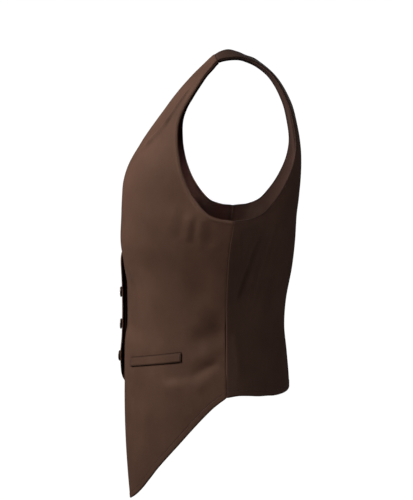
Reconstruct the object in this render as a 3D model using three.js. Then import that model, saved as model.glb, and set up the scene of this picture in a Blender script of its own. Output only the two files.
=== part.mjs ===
// A woman's suit waistcoat, hollow as worn: two fronts that cross at the middle, one back, a lining
// inside each of them, a pocket welt on either front and three buttons.
// Millimetres, +Z up. The wearer faces -Y and the wearer's left is +X. The origin is midway between the
// neck ends of the two shoulder seams, where the waistcoat rests on the shoulders.
//
// Every cloth piece is a sheet laid on the same form. The form is given level by level. A level is a
// smooth curve from the front edge round to the side (fronts) or from the side round to the middle of
// the back (back), drawn with an end point, two pull points and an end point.
import * as THREE from 'three';

// Cloth thickness and the room left between neighbours
const FRONT_WALL = 2.0;
const BACK_WALL = 1.4;
const LINING_WALL = 1.0;
const LINING_ROOM = 2.0;
const WELT_WALL = 1.4;
const GAP = 0.3;

// Heights that the form turns on. A level is its own height in Z up to the shoulder blades and the chest;
// nearer the shoulder it counts the length of cloth passed on the way up.
const TIP = -622;
const SIDE_HEM = -463.5;
const UNDERARM = -224;
const FRONT_SHOULDER = 0;
const BACK_SHOULDER = 64;
const BACK_NECK_LEVEL = 25;

// How finely the sheets are divided: rows below and above the underarm, columns across
const FRONT_GRID = { low: 20, high: 16, lap: 5, across: 10 };
const BACK_GRID = { low: 20, high: 17, shoulder: 5, neck: 7 };
// Share of the front's width, from its edge, that is divided more finely for the crossing
const LAP_SHARE = 0.2;
const LINING_GRID = { low: 10, high: 9, across: 8 };
const BACK_LINING_GRID = { low: 8, high: 9, shoulder: 4, neck: 5 };

// Levels of the left front. e = front or neck edge, a and b = pull points, s = side seam or armhole edge.
const FRONT_LEVELS = table(
  ['w', 'ex', 'ey', 'ez', 'ax', 'ay', 'bx', 'by', 'sx', 'sy', 'sz'], [
    [-640, -16, -142, -640, 84, -158, 157, -80, 159, 3, -640],
    [-560, -16, -143, -560, 85, -156, 157, -80, 160, 2, -560],
    [-463, -16, -142.5, -463, 84, -152, 158, -82, 158, 2, -463],
    [-420, -16, -143, -420, 80, -150, 150, -80, 149, 1.8, -420],
    [-384, -16, -142, -384, 78, -148, 145, -78, 144, 1.6, -384],
    [-345, -16, -141.3, -345, 80, -149, 147, -80, 145, 1.6, -345],
    [-300, -15, -141, -300, 83, -155, 153, -86, 151, 3, -300],
    [-262, 6, -140, -262, 86, -169, 161, -92, 159, 6, -262],
    [-224, 19, -137.5, -224, 88, -168, 167, -96, 166, 12, -224],
    [-200, 26, -137, -200, 88, -165, 168, -98, 165.5, 15, -200],
    [-175, 33, -136, -175, 88, -159, 166, -100, 163, 2, -175],
    [-150, 39.5, -128.6, -150, 88, -147, 160, -100, 158, -15, -150],
    [-122, 46.5, -115, -122, 87, -122, 150, -95, 152.5, -32, -122],
    [-90, 53.5, -92.8, -90, 86, -97, 136, -85, 146, -42, -90],
    [-60, 60.5, -69.4, -60, 86, -76, 123, -68, 137, -42, -60],
    [-32, 67.5, -45.9, -32, 88, -51, 114, -44, 128, -29.5, -32],
    [-14, 73.2, -28.6, -14, 89, -29, 109, -24.5, 123, -18, -17.5],
    [0, 76.6, -14.1, -0.4, 90.5, -13, 105, -11.2, 119, -10, -9],
    [13, 74, 0, 5.5, 88, 1, 104, 3, 118, 4.5, -5.5],
  ]);
// The armhole edge of the left front: t and level from the underarm (v 0) to the shoulder (v 1)
const FRONT_ARMHOLE = table(['v', 't', 'w'], [
  [0, 1, -224], [0.059, 0.949, -222], [0.131, 0.885, -215], [0.218, 0.832, -198], [0.312, 0.81, -176],
  [0.413, 0.808, -150], [0.519, 0.813, -122], [0.631, 0.822, -92], [0.702, 0.866, -74], [0.755, 0.922, -61.5],
  [0.828, 0.976, -45], [0.891, 1, -30], [0.954, 1, -14], [1, 1, 0],
]);

// Where the left front is cut away below the buttons: the sideways place of its edge at each level
const CUTAWAY = table(['w', 'x'], [
  [-640, 72], [-622, 66], [-571, 51], [-522, 34], [-495, 23], [-475, 13], [-460, 2], [-451, -8], [-443, -14], [-435, -16],
  [-300, -16],
]);

// Levels of the left half of the back. s = side seam or armhole edge, c = middle of the back.
const BACK_LEVELS = table(
  ['w', 'sx', 'sy', 'sz', 'ax', 'ay', 'az', 'bx', 'by', 'bz', 'cy', 'cz'], [
    [-490, 160, 2, -490, 159, 58, -490, 86, 91.5, -490, 91.5, -490],
    [-463, 158, 2, -463, 158, 59, -463, 85, 92.5, -463, 92, -463],
    [-420, 149, 1.8, -420, 149, 57, -420, 82, 89, -420, 88.5, -420],
    [-384, 144, 1.6, -384, 143, 55, -384, 80, 85.5, -384, 85, -384],
    [-345, 145, 1.6, -345, 143, 57, -345, 82, 88, -345, 87.3, -345],
    [-300, 151, 3, -300, 149, 61, -300, 86, 96.5, -300, 95.5, -300],
    [-262, 159, 6, -262, 157, 68, -262, 92, 101.5, -262, 99.5, -262],
    [-224, 166, 12, -224, 165, 80, -224, 97, 104.5, -224, 101, -224],
    [-200, 165.5, 15, -200, 166, 94, -200, 96, 107, -200, 103, -200],
    [-175, 162.5, 36, -175, 162.5, 107, -175, 92, 107.5, -175, 104, -175],
    [-150, 157, 66, -150, 152, 110, -150, 86, 107, -150, 104, -150],
    [-125, 149, 86, -125, 139, 107, -125, 78, 105, -125, 102.5, -125],
    [-95, 143, 89, -95, 128, 100.5, -95, 68, 100, -95, 98, -95],
    [-65, 136, 84, -65, 114, 90, -65, 58, 93, -65, 90, -65],
    [-27, 127.5, 67, -31, 98, 70, -31, 46, 73, -31, 70.5, -31],
    [6, 121, 46, -14, 95, 45, -8, 40, 42, -5, 40, -6],
    [22, 118.5, 30, -7, 90, 29, 0, 40, 26, 0.4, 26, -1.5],
    [33, 118, 20, -4.9, 88, 17, 5.2, 44, 15, 5.8, 15, 1.5],
    [48, 118, 4.5, -5.5, 89, 2, 4, 45, 0, 11, 0, 8],
    [64, 119, -10, -9, 91, -12, -2.8, 50, -17, 5, -22, 8],
    [80, 123, -18, -17.5, 94, -26, -13, 55, -34, -12, -40, -10],
  ]);
// The armhole edge of the back: t and level from the underarm (v 0) to the shoulder (v 1)
const BACK_ARMHOLE = table(['v', 't', 'w'], [
  [0, 0, -224], [0.066, 0.113, -221], [0.134, 0.215, -212.5], [0.195, 0.268, -198], [0.249, 0.286, -184],
  [0.319, 0.283, -163], [0.392, 0.25, -140], [0.46, 0.204, -118], [0.538, 0.146, -92], [0.622, 0.09, -65],
  [0.738, 0.028, -29], [0.823, 0, 6], [0.875, 0, 22], [0.906, 0, 33], [0.951, 0, 48], [1, 0, 64],
]);
// Share of the way from armhole to middle of the back at which the shoulder seam meets the neck
const NECK_SHARE = 0.425;
const NECK_CURVE = 3.2;
// The slanting hem of a front: share of its rise at each share of the way from the point to the side
const FRONT_HEM = table(['u', 'rise'], [
  [0, 0], [0.1, 0.052], [0.2, 0.129], [0.3, 0.233], [0.4, 0.349], [0.5, 0.459], [0.6, 0.571], [0.7, 0.689],
  [0.8, 0.806], [0.9, 0.915], [1, 1],
]);
// The hem of the back: how far it drops below the side's at each share of the way to the middle
const BACK_HEM = table(['u', 'drop'], [
  [0, 0], [0.1, -2.4], [0.2, -1.6], [0.3, 0.4], [0.4, 1.8], [0.5, 4], [0.7, 6.3], [1, 8],
]);

// Folds and pulls in the cloth of the fronts: a soft ridge (or trough) from one place to another.
// t = share of the way from edge to side, w = level, wide = half width, high = height, all in millimetres
const FRONT_FOLDS = table(['t1', 'w1', 't2', 'w2', 'wide', 'high'], [
  [0.56, -442, 1.04, -416, 11, -1.3],
  [0.60, -458, 1.02, -438, 13, 1.2],
  [0.82, -236, 0.96, -266, 9, 0.8],
  [0.70, -238, 0.86, -276, 10, -0.7],
]);
const BACK_FOLDS = table(['t1', 'w1', 't2', 'w2', 'wide', 'high'], [
  [0.30, -300, 0.36, -440, 16, 1.6],
  [0.62, -290, 0.58, -430, 18, -1.5],
  [0.45, -120, 0.50, -260, 20, 1.2],
]);
// Length that a full sweep in t stands for, so that a fold's width is true both ways
const FOLD_SPAN = 240;
// A fold rises from nothing over the first of this many parts of its length and dies away over the last
const FOLD_PARTS = 4;

// Pocket welt: the share of the way to the side and the level of its two ends, and its height
const WELT = { frontT: 0.292, backT: 0.735, frontTop: -423, backTop: -405.5, tall: 12, stand: 0.7, across: 14, rows: 2 };

// Buttons: on the middle line of the right front
const BUTTON = { radius: 7.5, seat: 0.95, thick: 2.0, rim: 0.6, dish: 4.2, facets: 22 };
const BUTTON_LEVELS = { top: -337, middle: -383, bottom: -429 };
// A button's outline from the middle of its back to its rim, as shares of its radius and its thickness
const BUTTON_OUTLINE = table(['out', 'up'], [
  [0, 0], [0.82, 0], [1, 0.35], [1, 0.7], [0.9, 1], [0.74, 1],
]);

// The right front lies on the left one where they cross
// fall = how fast the upper cloth returns past the lower one's edge, spare = room between them beyond the gap,
// roll = how far the upper edge stands off, flare = how much further it does so near the last button
const LAP = { width: 60, fall: 0.012, blend: 1.6, spare: 1.4, roll: 1.2, flare: 1.4, flareLevel: -428, flareTall: 18,
  reach: 10 };

// Lining: how far its edges keep in from the edges of the outer cloth, as shares of the way
const FACING = 0.27;
const LINING_SIDE = 0.025;
const LINING_HEM = 0.05;
const LINING_TOP = 0.02;
const BACK_LINING_TOP = 0.06;
const SEAM_SWEEP = 0.004;
// The lining eases back from the armhole edge over the first of this many parts of the way up
const LINING_EASE = 8;

// How far to either side the form is probed to find which way it faces, as a share of the way and in height,
// and along the shoulder seam
const PROBE = { sweep: 0.004, rise: 1.5, seam: 6 };
// The search for a place on a front stops at this share of the way and after this many halvings
const SEARCH = { furthest: 0.7, halvings: 26 };

const LOOKS = {
  cloth: { color: 0x4f392f, roughness: 0.9 },
  welt: { color: 0x543d32, roughness: 0.9 },
  back: { color: 0x2b2019, roughness: 0.55 },
  lining: { color: 0x2e211b, roughness: 0.5 },
  button: { color: 0x2a1f1a, roughness: 0.35 },
};

/** Rows of numbers under named columns. */
function table(names, rows) {
  return rows.map((row) => Object.fromEntries(names.map((name, index) => [name, row[index]])));
}

function mix(from, to, share) {
  return from + (to - from) * share;
}

function smooth(share) {
  const s = Math.min(1, Math.max(0, share));
  return s * s * (3 - 2 * s);
}

/** The slope of a column at one of its rows. */
function slopeAt(rows, index, name, key) {
  const before = rows[Math.max(0, index - 1)];
  const after = rows[Math.min(rows.length - 1, index + 1)];
  return (after[name] - before[name]) / (after[key] - before[key]);
}

/** The value of a column where the key column is at, on a smooth curve through the rows. */
function valueAt(rows, name, at, key = 'w') {
  let index = 0;
  while (index < rows.length - 2 && rows[index + 1][key] < at) index += 1;
  const low = rows[index];
  const high = rows[index + 1];
  const span = high[key] - low[key];
  const s = Math.min(1, Math.max(0, (at - low[key]) / span));
  const lowSlope = slopeAt(rows, index, name, key) * span;
  const highSlope = slopeAt(rows, index + 1, name, key) * span;
  const s2 = s * s;
  const s3 = s2 * s;
  return (2 * s3 - 3 * s2 + 1) * low[name] + (s3 - 2 * s2 + s) * lowSlope
    + (3 * s2 - 2 * s3) * high[name] + (s3 - s2) * highSlope;
}

/** A place on the curve with end points p and q and pull points a and b. */
function along(p, a, b, q, t) {
  const r = 1 - t;
  return r * r * r * p + 3 * r * r * t * a + 3 * r * t * t * b + t * t * t * q;
}

/** The form of the left front: t from the front edge (0) round to the side (1), w the level. */
function frontForm(t, w) {
  const at = (name) => valueAt(FRONT_LEVELS, name, w);
  return new THREE.Vector3(
    along(at('ex'), at('ax'), at('bx'), at('sx'), t),
    along(at('ey'), at('ay'), at('by'), at('sy'), t),
    mix(at('ez'), at('sz'), t));
}

/** The form of the left half of the back: t from the side (0) to the middle of the back (1). */
function backForm(t, w) {
  const at = (name) => valueAt(BACK_LEVELS, name, w);
  return new THREE.Vector3(
    along(at('sx'), at('ax'), at('bx'), 0, t),
    along(at('sy'), at('ay'), at('by'), at('cy'), t),
    along(at('sz'), at('az'), at('bz'), at('cz'), t));
}

/** Height of all the folds of a table at a place on the form. */
function foldHeight(folds, t, w) {
  let height = 0;
  for (const fold of folds) {
    const runT = (fold.t2 - fold.t1) * FOLD_SPAN;
    const runW = fold.w2 - fold.w1;
    const length = Math.hypot(runT, runW);
    const fromT = (t - fold.t1) * FOLD_SPAN;
    const fromW = w - fold.w1;
    const far = (fromT * runT + fromW * runW) / length;
    const off = Math.abs(fromT * runW - fromW * runT) / length;
    const fade = smooth((far / length) * FOLD_PARTS) * smooth((1 - far / length) * FOLD_PARTS);
    height += fold.high * fade * Math.exp(-((off / fold.wide) ** 2));
  }
  return height;
}

/** The outward direction of a form at a place. */
function outward(form, t, w) {
  const t1 = Math.max(0, t - PROBE.sweep);
  const t2 = Math.min(1, t + PROBE.sweep);
  const run = form(t2, w).sub(form(t1, w));
  const climb = form(t, w + PROBE.rise).sub(form(t, w - PROBE.rise));
  return run.cross(climb).normalize();
}

/** A form with its folds. */
function folded(form, folds) {
  return (t, w) => form(t, w).addScaledVector(outward(form, t, w), foldHeight(folds, t, w));
}

const frontCloth = folded(frontForm, FRONT_FOLDS);
const backCloth = folded(backForm, BACK_FOLDS);

/** The share t at which the left front reaches the sideways place x at level w. */
function shareAtX(x, w) {
  let low = 0;
  let high = SEARCH.furthest;
  for (let round = 0; round < SEARCH.halvings; round += 1) {
    const middle = (low + high) / 2;
    if (frontForm(middle, w).x < x) low = middle; else high = middle;
  }
  return low;
}

/** The share t of the front's own edge at level w: past the cut-away it is the start of the curve. */
function edgeShare(w) {
  return w < CUTAWAY[CUTAWAY.length - 2].w ? shareAtX(valueAt(CUTAWAY, 'x', w), w) : 0;
}

/** Places across and up a front: u from edge to side, v from hem (0) over the underarm (1) to shoulder (2). */
function frontPlace(u, v) {
  if (v <= 1) {
    const left = mix(TIP, UNDERARM, v);
    return { t: mix(edgeShare(left), 1, u), w: mix(left, mix(SIDE_HEM, UNDERARM, v), valueAt(FRONT_HEM, 'rise', u, 'u')) };
  }
  const left = mix(UNDERARM, FRONT_SHOULDER, v - 1);
  const t = valueAt(FRONT_ARMHOLE, 't', v - 1, 'v');
  return { t: t * u, w: mix(left, valueAt(FRONT_ARMHOLE, 'w', v - 1, 'v'), u) };
}

/** Places across and up the left half of the back: u from the side or armhole (0) to the middle (1). */
function backPlace(u, v) {
  if (v <= 1) return { t: u, w: mix(SIDE_HEM - valueAt(BACK_HEM, 'drop', u, 'u'), UNDERARM, v) };
  const inNeck = Math.max(0, (u - NECK_SHARE) / (1 - NECK_SHARE));
  const top = BACK_NECK_LEVEL + (BACK_SHOULDER - BACK_NECK_LEVEL) * (1 - inNeck) ** NECK_CURVE;
  const edge = valueAt(BACK_ARMHOLE, 't', v - 1, 'v');
  const side = valueAt(BACK_ARMHOLE, 'w', v - 1, 'v');
  const middle = mix(UNDERARM, top, v - 1);
  return { t: mix(edge, 1, u), w: mix(side, middle, smooth(u / NECK_SHARE)) };
}

/** Even steps from one value to another, both ends included. */
function steps(from, to, count) {
  return Array.from({ length: count + 1 }, (_, index) => mix(from, to, index / count));
}

/** The outward direction at every point of a grid of points. */
function gridNormals(grid) {
  const pick = (row, list) => list[Math.min(list.length - 1, Math.max(0, row))];
  return grid.map((line, i) => line.map((point, j) => {
    const across = pick(j + 1, line).clone().sub(pick(j - 1, line));
    const up = pick(i + 1, grid)[j].clone().sub(pick(i - 1, grid)[j]);
    return across.cross(up).normalize();
  }));
}

/** Every point of a grid moved along its outward direction. */
function moved(grid, normals, distance) {
  return grid.map((line, i) => line.map((point, j) => point.clone().addScaledVector(normals[i][j], distance)));
}

/** A grid reflected to the other side of the body, with its columns turned round. */
function reflected(grid) {
  return grid.map((line) => line.map((point) => new THREE.Vector3(-point.x, point.y, point.z)).reverse());
}

/** A closed sheet between an outer and an inner grid of points. */
function sheet(name, outer, inner, look) {
  const rows = outer.length;
  const columns = outer[0].length;
  const positions = [];
  for (const grid of [outer, inner]) for (const line of grid) for (const p of line) positions.push(p.x, p.y, p.z);
  const out = (i, j) => i * columns + j;
  const back = (i, j) => rows * columns + out(i, j);
  const faces = [];
  for (let i = 0; i < rows - 1; i += 1) {
    for (let j = 0; j < columns - 1; j += 1) {
      faces.push(out(i, j), out(i, j + 1), out(i + 1, j + 1), out(i, j), out(i + 1, j + 1), out(i + 1, j));
      faces.push(back(i, j), back(i + 1, j + 1), back(i, j + 1), back(i, j), back(i + 1, j), back(i + 1, j + 1));
    }
  }
  const rim = [];
  for (let j = 0; j < columns; j += 1) rim.push([0, j]);
  for (let i = 1; i < rows; i += 1) rim.push([i, columns - 1]);
  for (let j = columns - 2; j >= 0; j -= 1) rim.push([rows - 1, j]);
  for (let i = rows - 2; i > 0; i -= 1) rim.push([i, 0]);
  rim.forEach(([i, j], index) => {
    const [k, l] = rim[(index + 1) % rim.length];
    faces.push(out(i, j), back(i, j), back(k, l), out(i, j), back(k, l), out(k, l));
  });
  const geometry = new THREE.BufferGeometry();
  geometry.setAttribute('position', new THREE.Float32BufferAttribute(positions, 3));
  geometry.setIndex(faces);
  geometry.computeVertexNormals();
  return solid(name, geometry, look);
}

function solid(name, geometry, look) {
  const mesh = new THREE.Mesh(geometry, new THREE.MeshStandardMaterial(look));
  mesh.name = name;
  return mesh;
}

/** Points of a piece of cloth over lists of u and v, with its ends drawn in at the seams. */
function gridOf(cloth, place, us, vs) {
  return vs.map((v) => us.map((u) => {
    const { t, w } = place(u, v);
    return cloth(t, w);
  }));
}

/** Moves the last or first column and the top row of a grid back from the seam line by half the gap. */
function drawnIn(grid, { column, top }) {
  const rows = grid.length;
  const half = GAP / 2;
  if (column !== undefined) {
    const next = column === 0 ? 1 : column - 1;
    for (let i = 0; i < rows; i += 1) {
      const inward = grid[i][next].clone().sub(grid[i][column]).normalize();
      grid[i][column].addScaledVector(inward, half);
    }
  }
  if (top) {
    for (let j = top[0]; j <= top[1]; j += 1) {
      const inward = grid[rows - 2][j].clone().sub(grid[rows - 1][j]).normalize();
      grid[rows - 1][j].addScaledVector(inward, half);
    }
  }
  return grid;
}

/** The direction that the cloth faces along the shoulder seam, the same for the front and the back. */
const SHOULDER_FACING = (() => {
  const seam = frontForm(1, FRONT_SHOULDER).sub(frontForm(0, FRONT_SHOULDER)).normalize();
  const beyond = frontForm(0.5, FRONT_SHOULDER + PROBE.seam);
  const over = beyond.sub(frontForm(0.5, FRONT_SHOULDER - PROBE.seam)).normalize();
  return seam.cross(over).normalize();
})();

/** The direction that the cloth faces along the side seam, the same for the front and the back. */
function sideFacing(w) {
  return outward(frontForm, 1, w).add(outward(backForm, 0, w)).normalize();
}

const frontRows = [...steps(0, 1, FRONT_GRID.low), ...steps(1, 2, FRONT_GRID.high).slice(1)];
const frontColumns = [...steps(0, LAP_SHARE, FRONT_GRID.lap), ...steps(LAP_SHARE, 1, FRONT_GRID.across).slice(1)];

/** The outer points of the left front, and the directions that they face. */
function leftFront() {
  const grid = drawnIn(gridOf(frontCloth, frontPlace, frontColumns, frontRows),
    { column: frontColumns.length - 1, top: [0, frontColumns.length - 1] });
  const normals = gridNormals(grid);
  normals[grid.length - 1] = normals[grid.length - 1].map(() => SHOULDER_FACING.clone());
  for (let i = 0; i <= FRONT_GRID.low; i += 1) {
    normals[i][frontColumns.length - 1] = sideFacing(frontPlace(1, frontRows[i]).w);
  }
  return { grid, normals };
}

/** The depth of the left front's outer face at x, z; past its edge it falls away. */
function leftDepth(x, z) {
  const edge = edgeShare(z);
  const edgePoint = frontForm(edge, z);
  if (x <= edgePoint.x) return edgePoint.y + LAP.fall * (edgePoint.x - x) ** 2;
  return frontForm(shareAtX(x, z), z).y;
}

/** Smaller of two numbers with the corner between them rounded. */
function softLess(one, other, blend) {
  const h = smooth(0.5 + (other - one) / (4 * blend));
  return mix(other, one, h) - blend * h * (1 - h);
}

/** Moves a point of the right front out so that it lies on the left front where they cross. */
function lapped(point) {
  const reaches = point.x > -LAP.width && point.z > TIP && point.z < UNDERARM;
  if (!reaches) return point;
  const low = Math.exp(-(((point.z - LAP.flareLevel) / LAP.flareTall) ** 2));
  const flare = (LAP.roll + LAP.flare * low) * smooth((point.x + LAP.reach) / (2 * LAP.reach));
  const limit = leftDepth(point.x, point.z) - FRONT_WALL - GAP - LAP.spare;
  return new THREE.Vector3(point.x, softLess(point.y, limit, LAP.blend) - flare, point.z);
}

function rightFront() {
  const left = leftFront();
  const grid = reflected(left.grid).map((line) => line.map(lapped));
  const own = gridNormals(grid);
  const normals = reflected(left.normals).map((line, i) => line.map((facing, j) => (
    grid[i][j].x > -LAP.width ? own[i][j] : facing)));
  return { grid, normals };
}

/** Places across the whole back, from the left side through the middle to the right side. */
function backColumns(counts) {
  return [...steps(0, NECK_SHARE, counts.shoulder), ...steps(NECK_SHARE, 1, counts.neck).slice(1)];
}

function wholeBack(grid) {
  return grid.map((line) => [...line, ...line.slice(0, -1).map((p) => new THREE.Vector3(-p.x, p.y, p.z)).reverse()]);
}

const backRows = [...steps(0, 1, BACK_GRID.low), ...steps(1, 2, BACK_GRID.high).slice(1)];

function backOuter() {
  const loose = gridOf(backCloth, backPlace, backColumns(BACK_GRID), backRows);
  for (let j = 0; j <= BACK_GRID.shoulder; j += 1) {
    loose[loose.length - 1][j] = frontForm(1 - j / BACK_GRID.shoulder, FRONT_SHOULDER);
  }
  const half = drawnIn(loose, { column: 0, top: [0, BACK_GRID.shoulder] });
  const grid = wholeBack(half);
  const normals = gridNormals(grid);
  const last = grid.length - 1;
  const width = grid[0].length - 1;
  for (let i = 0; i <= BACK_GRID.low; i += 1) {
    const facing = sideFacing(backPlace(0, backRows[i]).w);
    normals[i][0] = facing;
    normals[i][width] = new THREE.Vector3(-facing.x, facing.y, facing.z);
  }
  for (let j = 0; j <= BACK_GRID.shoulder; j += 1) {
    normals[last][j] = SHOULDER_FACING.clone();
    normals[last][width - j] = new THREE.Vector3(-SHOULDER_FACING.x, SHOULDER_FACING.y, SHOULDER_FACING.z);
  }
  return { grid, normals };
}

/** A panel from its outer points: the wall goes inward. */
function panel(name, { grid, normals }, wall, look) {
  return sheet(name, grid, moved(grid, normals, -wall), look);
}

/** How far a lining keeps in from the armhole edge at v: nothing below the underarm. */
function keptIn(v) {
  return LINING_SIDE * smooth((v - 1) * LINING_EASE);
}

/** Places of the lining of the left front, from the facing to the side. */
function frontLiningPlaces() {
  const us = steps(FACING, 1 - SEAM_SWEEP, LINING_GRID.across);
  const vs = [...steps(LINING_HEM, 1, LINING_GRID.low), ...steps(1, 2 - LINING_TOP, LINING_GRID.high).slice(1)];
  return vs.map((v) => us.map((u) => frontPlace(u * (1 - keptIn(v)), v)));
}

/** Places of the left half of the back's lining, from the side to the middle. */
function backLiningPlaces() {
  const us = backColumns(BACK_LINING_GRID);
  const vs = [...steps(LINING_HEM, 1, BACK_LINING_GRID.low),
    ...steps(1, 2 - BACK_LINING_TOP, BACK_LINING_GRID.high).slice(1)];
  return vs.map((v) => us.map((u) => backPlace(mix(SEAM_SWEEP + keptIn(v), 1, u), v)));
}

/** Points at a depth below the outer face of the cloth. */
function under(cloth, places, depth) {
  return places.map((line) => line.map(({ t, w }) => cloth(t, w).addScaledVector(outward(cloth, t, w), -depth)));
}

/** A lining over its places. turned puts it where it belongs: on the left, on the right or on both sides. */
function lining(name, cloth, places, wall, turned) {
  const outer = under(cloth, places, wall + LINING_ROOM);
  const inner = under(cloth, places, wall + LINING_ROOM + LINING_WALL);
  return sheet(name, turned(outer), turned(inner), LOOKS.lining);
}

/** The pocket welt: a strip of the front's own points moved out. */
function welt(name, turned) {
  const places = steps(0, 1, WELT.rows).map((up) => steps(0, 1, WELT.across).map((share) => ({
    t: mix(WELT.frontT, WELT.backT, share),
    w: mix(WELT.frontTop, WELT.backTop, share) - WELT.tall * (1 - up),
  })));
  const outer = under(frontCloth, places, -WELT.stand - WELT_WALL);
  const inner = under(frontCloth, places, -WELT.stand);
  return sheet(name, turned(outer), turned(inner), LOOKS.welt);
}

/** A button lying on the right front at the middle line. */
function button(name, level, right) {
  let nearest;
  right.grid.forEach((line, i) => line.forEach((point, j) => {
    const away = Math.hypot(point.x, point.z - level);
    if (!nearest || away < nearest.away) nearest = { away, i, j };
  }));
  const facing = right.normals[nearest.i][nearest.j];
  const depth = rightDepth(0, level, right);
  const { radius, thick, rim, dish } = BUTTON;
  const profile = BUTTON_OUTLINE.map(({ out, up }) => new THREE.Vector2(radius * out, thick * up));
  profile.push(new THREE.Vector2(dish, thick - rim), new THREE.Vector2(0, thick - rim));
  const geometry = new THREE.LatheGeometry(profile, BUTTON.facets);
  const turn = new THREE.Quaternion().setFromUnitVectors(new THREE.Vector3(0, 1, 0), facing);
  geometry.applyQuaternion(turn);
  const seat = new THREE.Vector3(0, depth, level).addScaledVector(facing, BUTTON.seat);
  geometry.translate(seat.x, seat.y, seat.z);
  return solid(name, geometry, LOOKS.button);
}

/** The depth of the right front's outer face at x, z. */
function rightDepth(x, z) {
  const t = shareAtX(-x, z);
  return lapped(new THREE.Vector3(x, frontForm(t, z).y, z)).y;
}

/** Leaves a grid on the wearer's left, where it is made. */
function asMade(grid) {
  return grid;
}

const right = rightFront();
const waistcoat = new THREE.Group();
waistcoat.name = 'waistcoat';
waistcoat.add(
  panel('front_left', leftFront(), FRONT_WALL, LOOKS.cloth),
  panel('front_right', right, FRONT_WALL, LOOKS.cloth),
  panel('back', backOuter(), BACK_WALL, LOOKS.back),
  lining('lining_front_left', frontCloth, frontLiningPlaces(), FRONT_WALL, asMade),
  lining('lining_front_right', frontCloth, frontLiningPlaces(), FRONT_WALL, reflected),
  lining('lining_back', backCloth, backLiningPlaces(), BACK_WALL, wholeBack),
  welt('pocket_welt_left', asMade),
  welt('pocket_welt_right', reflected),
  button('button_top', BUTTON_LEVELS.top, right),
  button('button_middle', BUTTON_LEVELS.middle, right),
  button('button_bottom', BUTTON_LEVELS.bottom, right),
);

export default waistcoat;
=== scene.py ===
"""A woman's suit waistcoat, hollow as worn, finished over its packed solids.

The form is worked out in millimetres, level by level, and written into the meshes in metres. A level is a
smooth curve from the front edge round to the side, or from the side round to the middle of the back, with
two end points and two pull points between them. t is the share of the way along it and w is its height.
"""

import math

import bpy
import numpy as np
from bpy.props import FloatProperty, FloatVectorProperty, PointerProperty
from mathutils import Matrix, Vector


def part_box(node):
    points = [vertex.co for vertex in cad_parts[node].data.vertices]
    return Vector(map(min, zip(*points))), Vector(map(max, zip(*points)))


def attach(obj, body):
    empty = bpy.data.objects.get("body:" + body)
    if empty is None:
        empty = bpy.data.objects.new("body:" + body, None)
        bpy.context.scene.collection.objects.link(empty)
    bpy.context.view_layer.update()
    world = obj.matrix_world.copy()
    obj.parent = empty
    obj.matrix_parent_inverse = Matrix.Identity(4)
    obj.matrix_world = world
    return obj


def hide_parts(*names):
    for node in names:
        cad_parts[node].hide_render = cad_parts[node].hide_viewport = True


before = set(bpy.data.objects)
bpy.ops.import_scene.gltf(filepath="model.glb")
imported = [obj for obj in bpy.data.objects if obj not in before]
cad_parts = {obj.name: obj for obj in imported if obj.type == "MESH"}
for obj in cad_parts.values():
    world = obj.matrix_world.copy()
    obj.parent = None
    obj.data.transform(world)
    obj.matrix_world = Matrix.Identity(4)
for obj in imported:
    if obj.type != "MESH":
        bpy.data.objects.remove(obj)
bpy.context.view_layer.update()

bl_info = {
    "name": "Suit waistcoat",
    "version": (1, 0, 0),
    "blender": (4, 5, 0),
    "location": "View3D > Sidebar > Waistcoat",
    "description": "Builds the cloth, buttons and stitching of a suit waistcoat",
    "category": "Object",
}

MM = 0.001

# Heights that the form turns on
TIP = -622
SIDE_HEM = -463.5
UNDERARM = -224
FRONT_SHOULDER = 0
BACK_SHOULDER = 64
BACK_NECK_LEVEL = 25
# Share of the way from armhole to middle of the back at which the shoulder seam meets the neck
NECK_SHARE = 0.425
NECK_CURVE = 3.2
# How far to either side the form is probed to find which way it faces, as a share of the way and in height
PROBE = {"sweep": 0.004, "rise": 1.5}
# The search for a place on a front stops at this share of the way and after this many halvings
SEARCH = {"furthest": 0.7, "halvings": 26}
# Length that a full sweep in t stands for, so that a fold's width is true both ways
FOLD_SPAN = 240
# A fold rises from nothing over the first of this many parts of its length and dies away over the last
FOLD_PARTS = 4
# Share of a front's width, from its edge, that crosses the other front or nearly so
LAP_SHARE = 0.2
# fall = how fast the upper cloth returns past the lower one's edge, spare = room between them beyond the gap,
# roll = how far the upper edge stands off, flare = how much further it does so near the last button
LAP = {"width": 60, "fall": 0.012, "blend": 1.6, "gap": 0.3, "spare": 1.4, "roll": 1.2, "flare": 1.4,
       "flare_level": -428, "flare_tall": 18, "reach": 10}
# Linings: where their edges lie as shares of the way, how far they keep clear of the back's neck edge, their
# room behind the cloth and at a sewn edge, and how far from that edge the room grows to its full depth
LINING = {"facing": 0.27, "side": 0.025, "hem": 0.05, "top": 0.004, "neck": 0.016, "ease": 8,
          "room": 2.0, "sewn_room": 0.3, "slack": 16}
# Seams: from how far off the cloth turns to its neighbour's direction, how far a sewn edge bulges into the
# seam as a share of half its wall, and the distance that stands for no seam at all
SEAM = {"turn": 5.0, "bulge": 0.04, "none": 50.0}
WELT = {"front_t": 0.292, "back_t": 0.735, "front_top": -423, "back_top": -405.5, "tall": 12, "stand": 0.7}
BUTTON_LEVELS = {"top": -337, "middle": -383, "bottom": -429}
BUTTON = {"seat": 0.95, "thick": 2.0, "rim": 0.6, "dish": 4.2, "crown": 0.74}


def table(names, rows):
    """Columns of numbers under their names."""
    return dict(zip(names.split(), np.array(rows, float).T))


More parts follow.
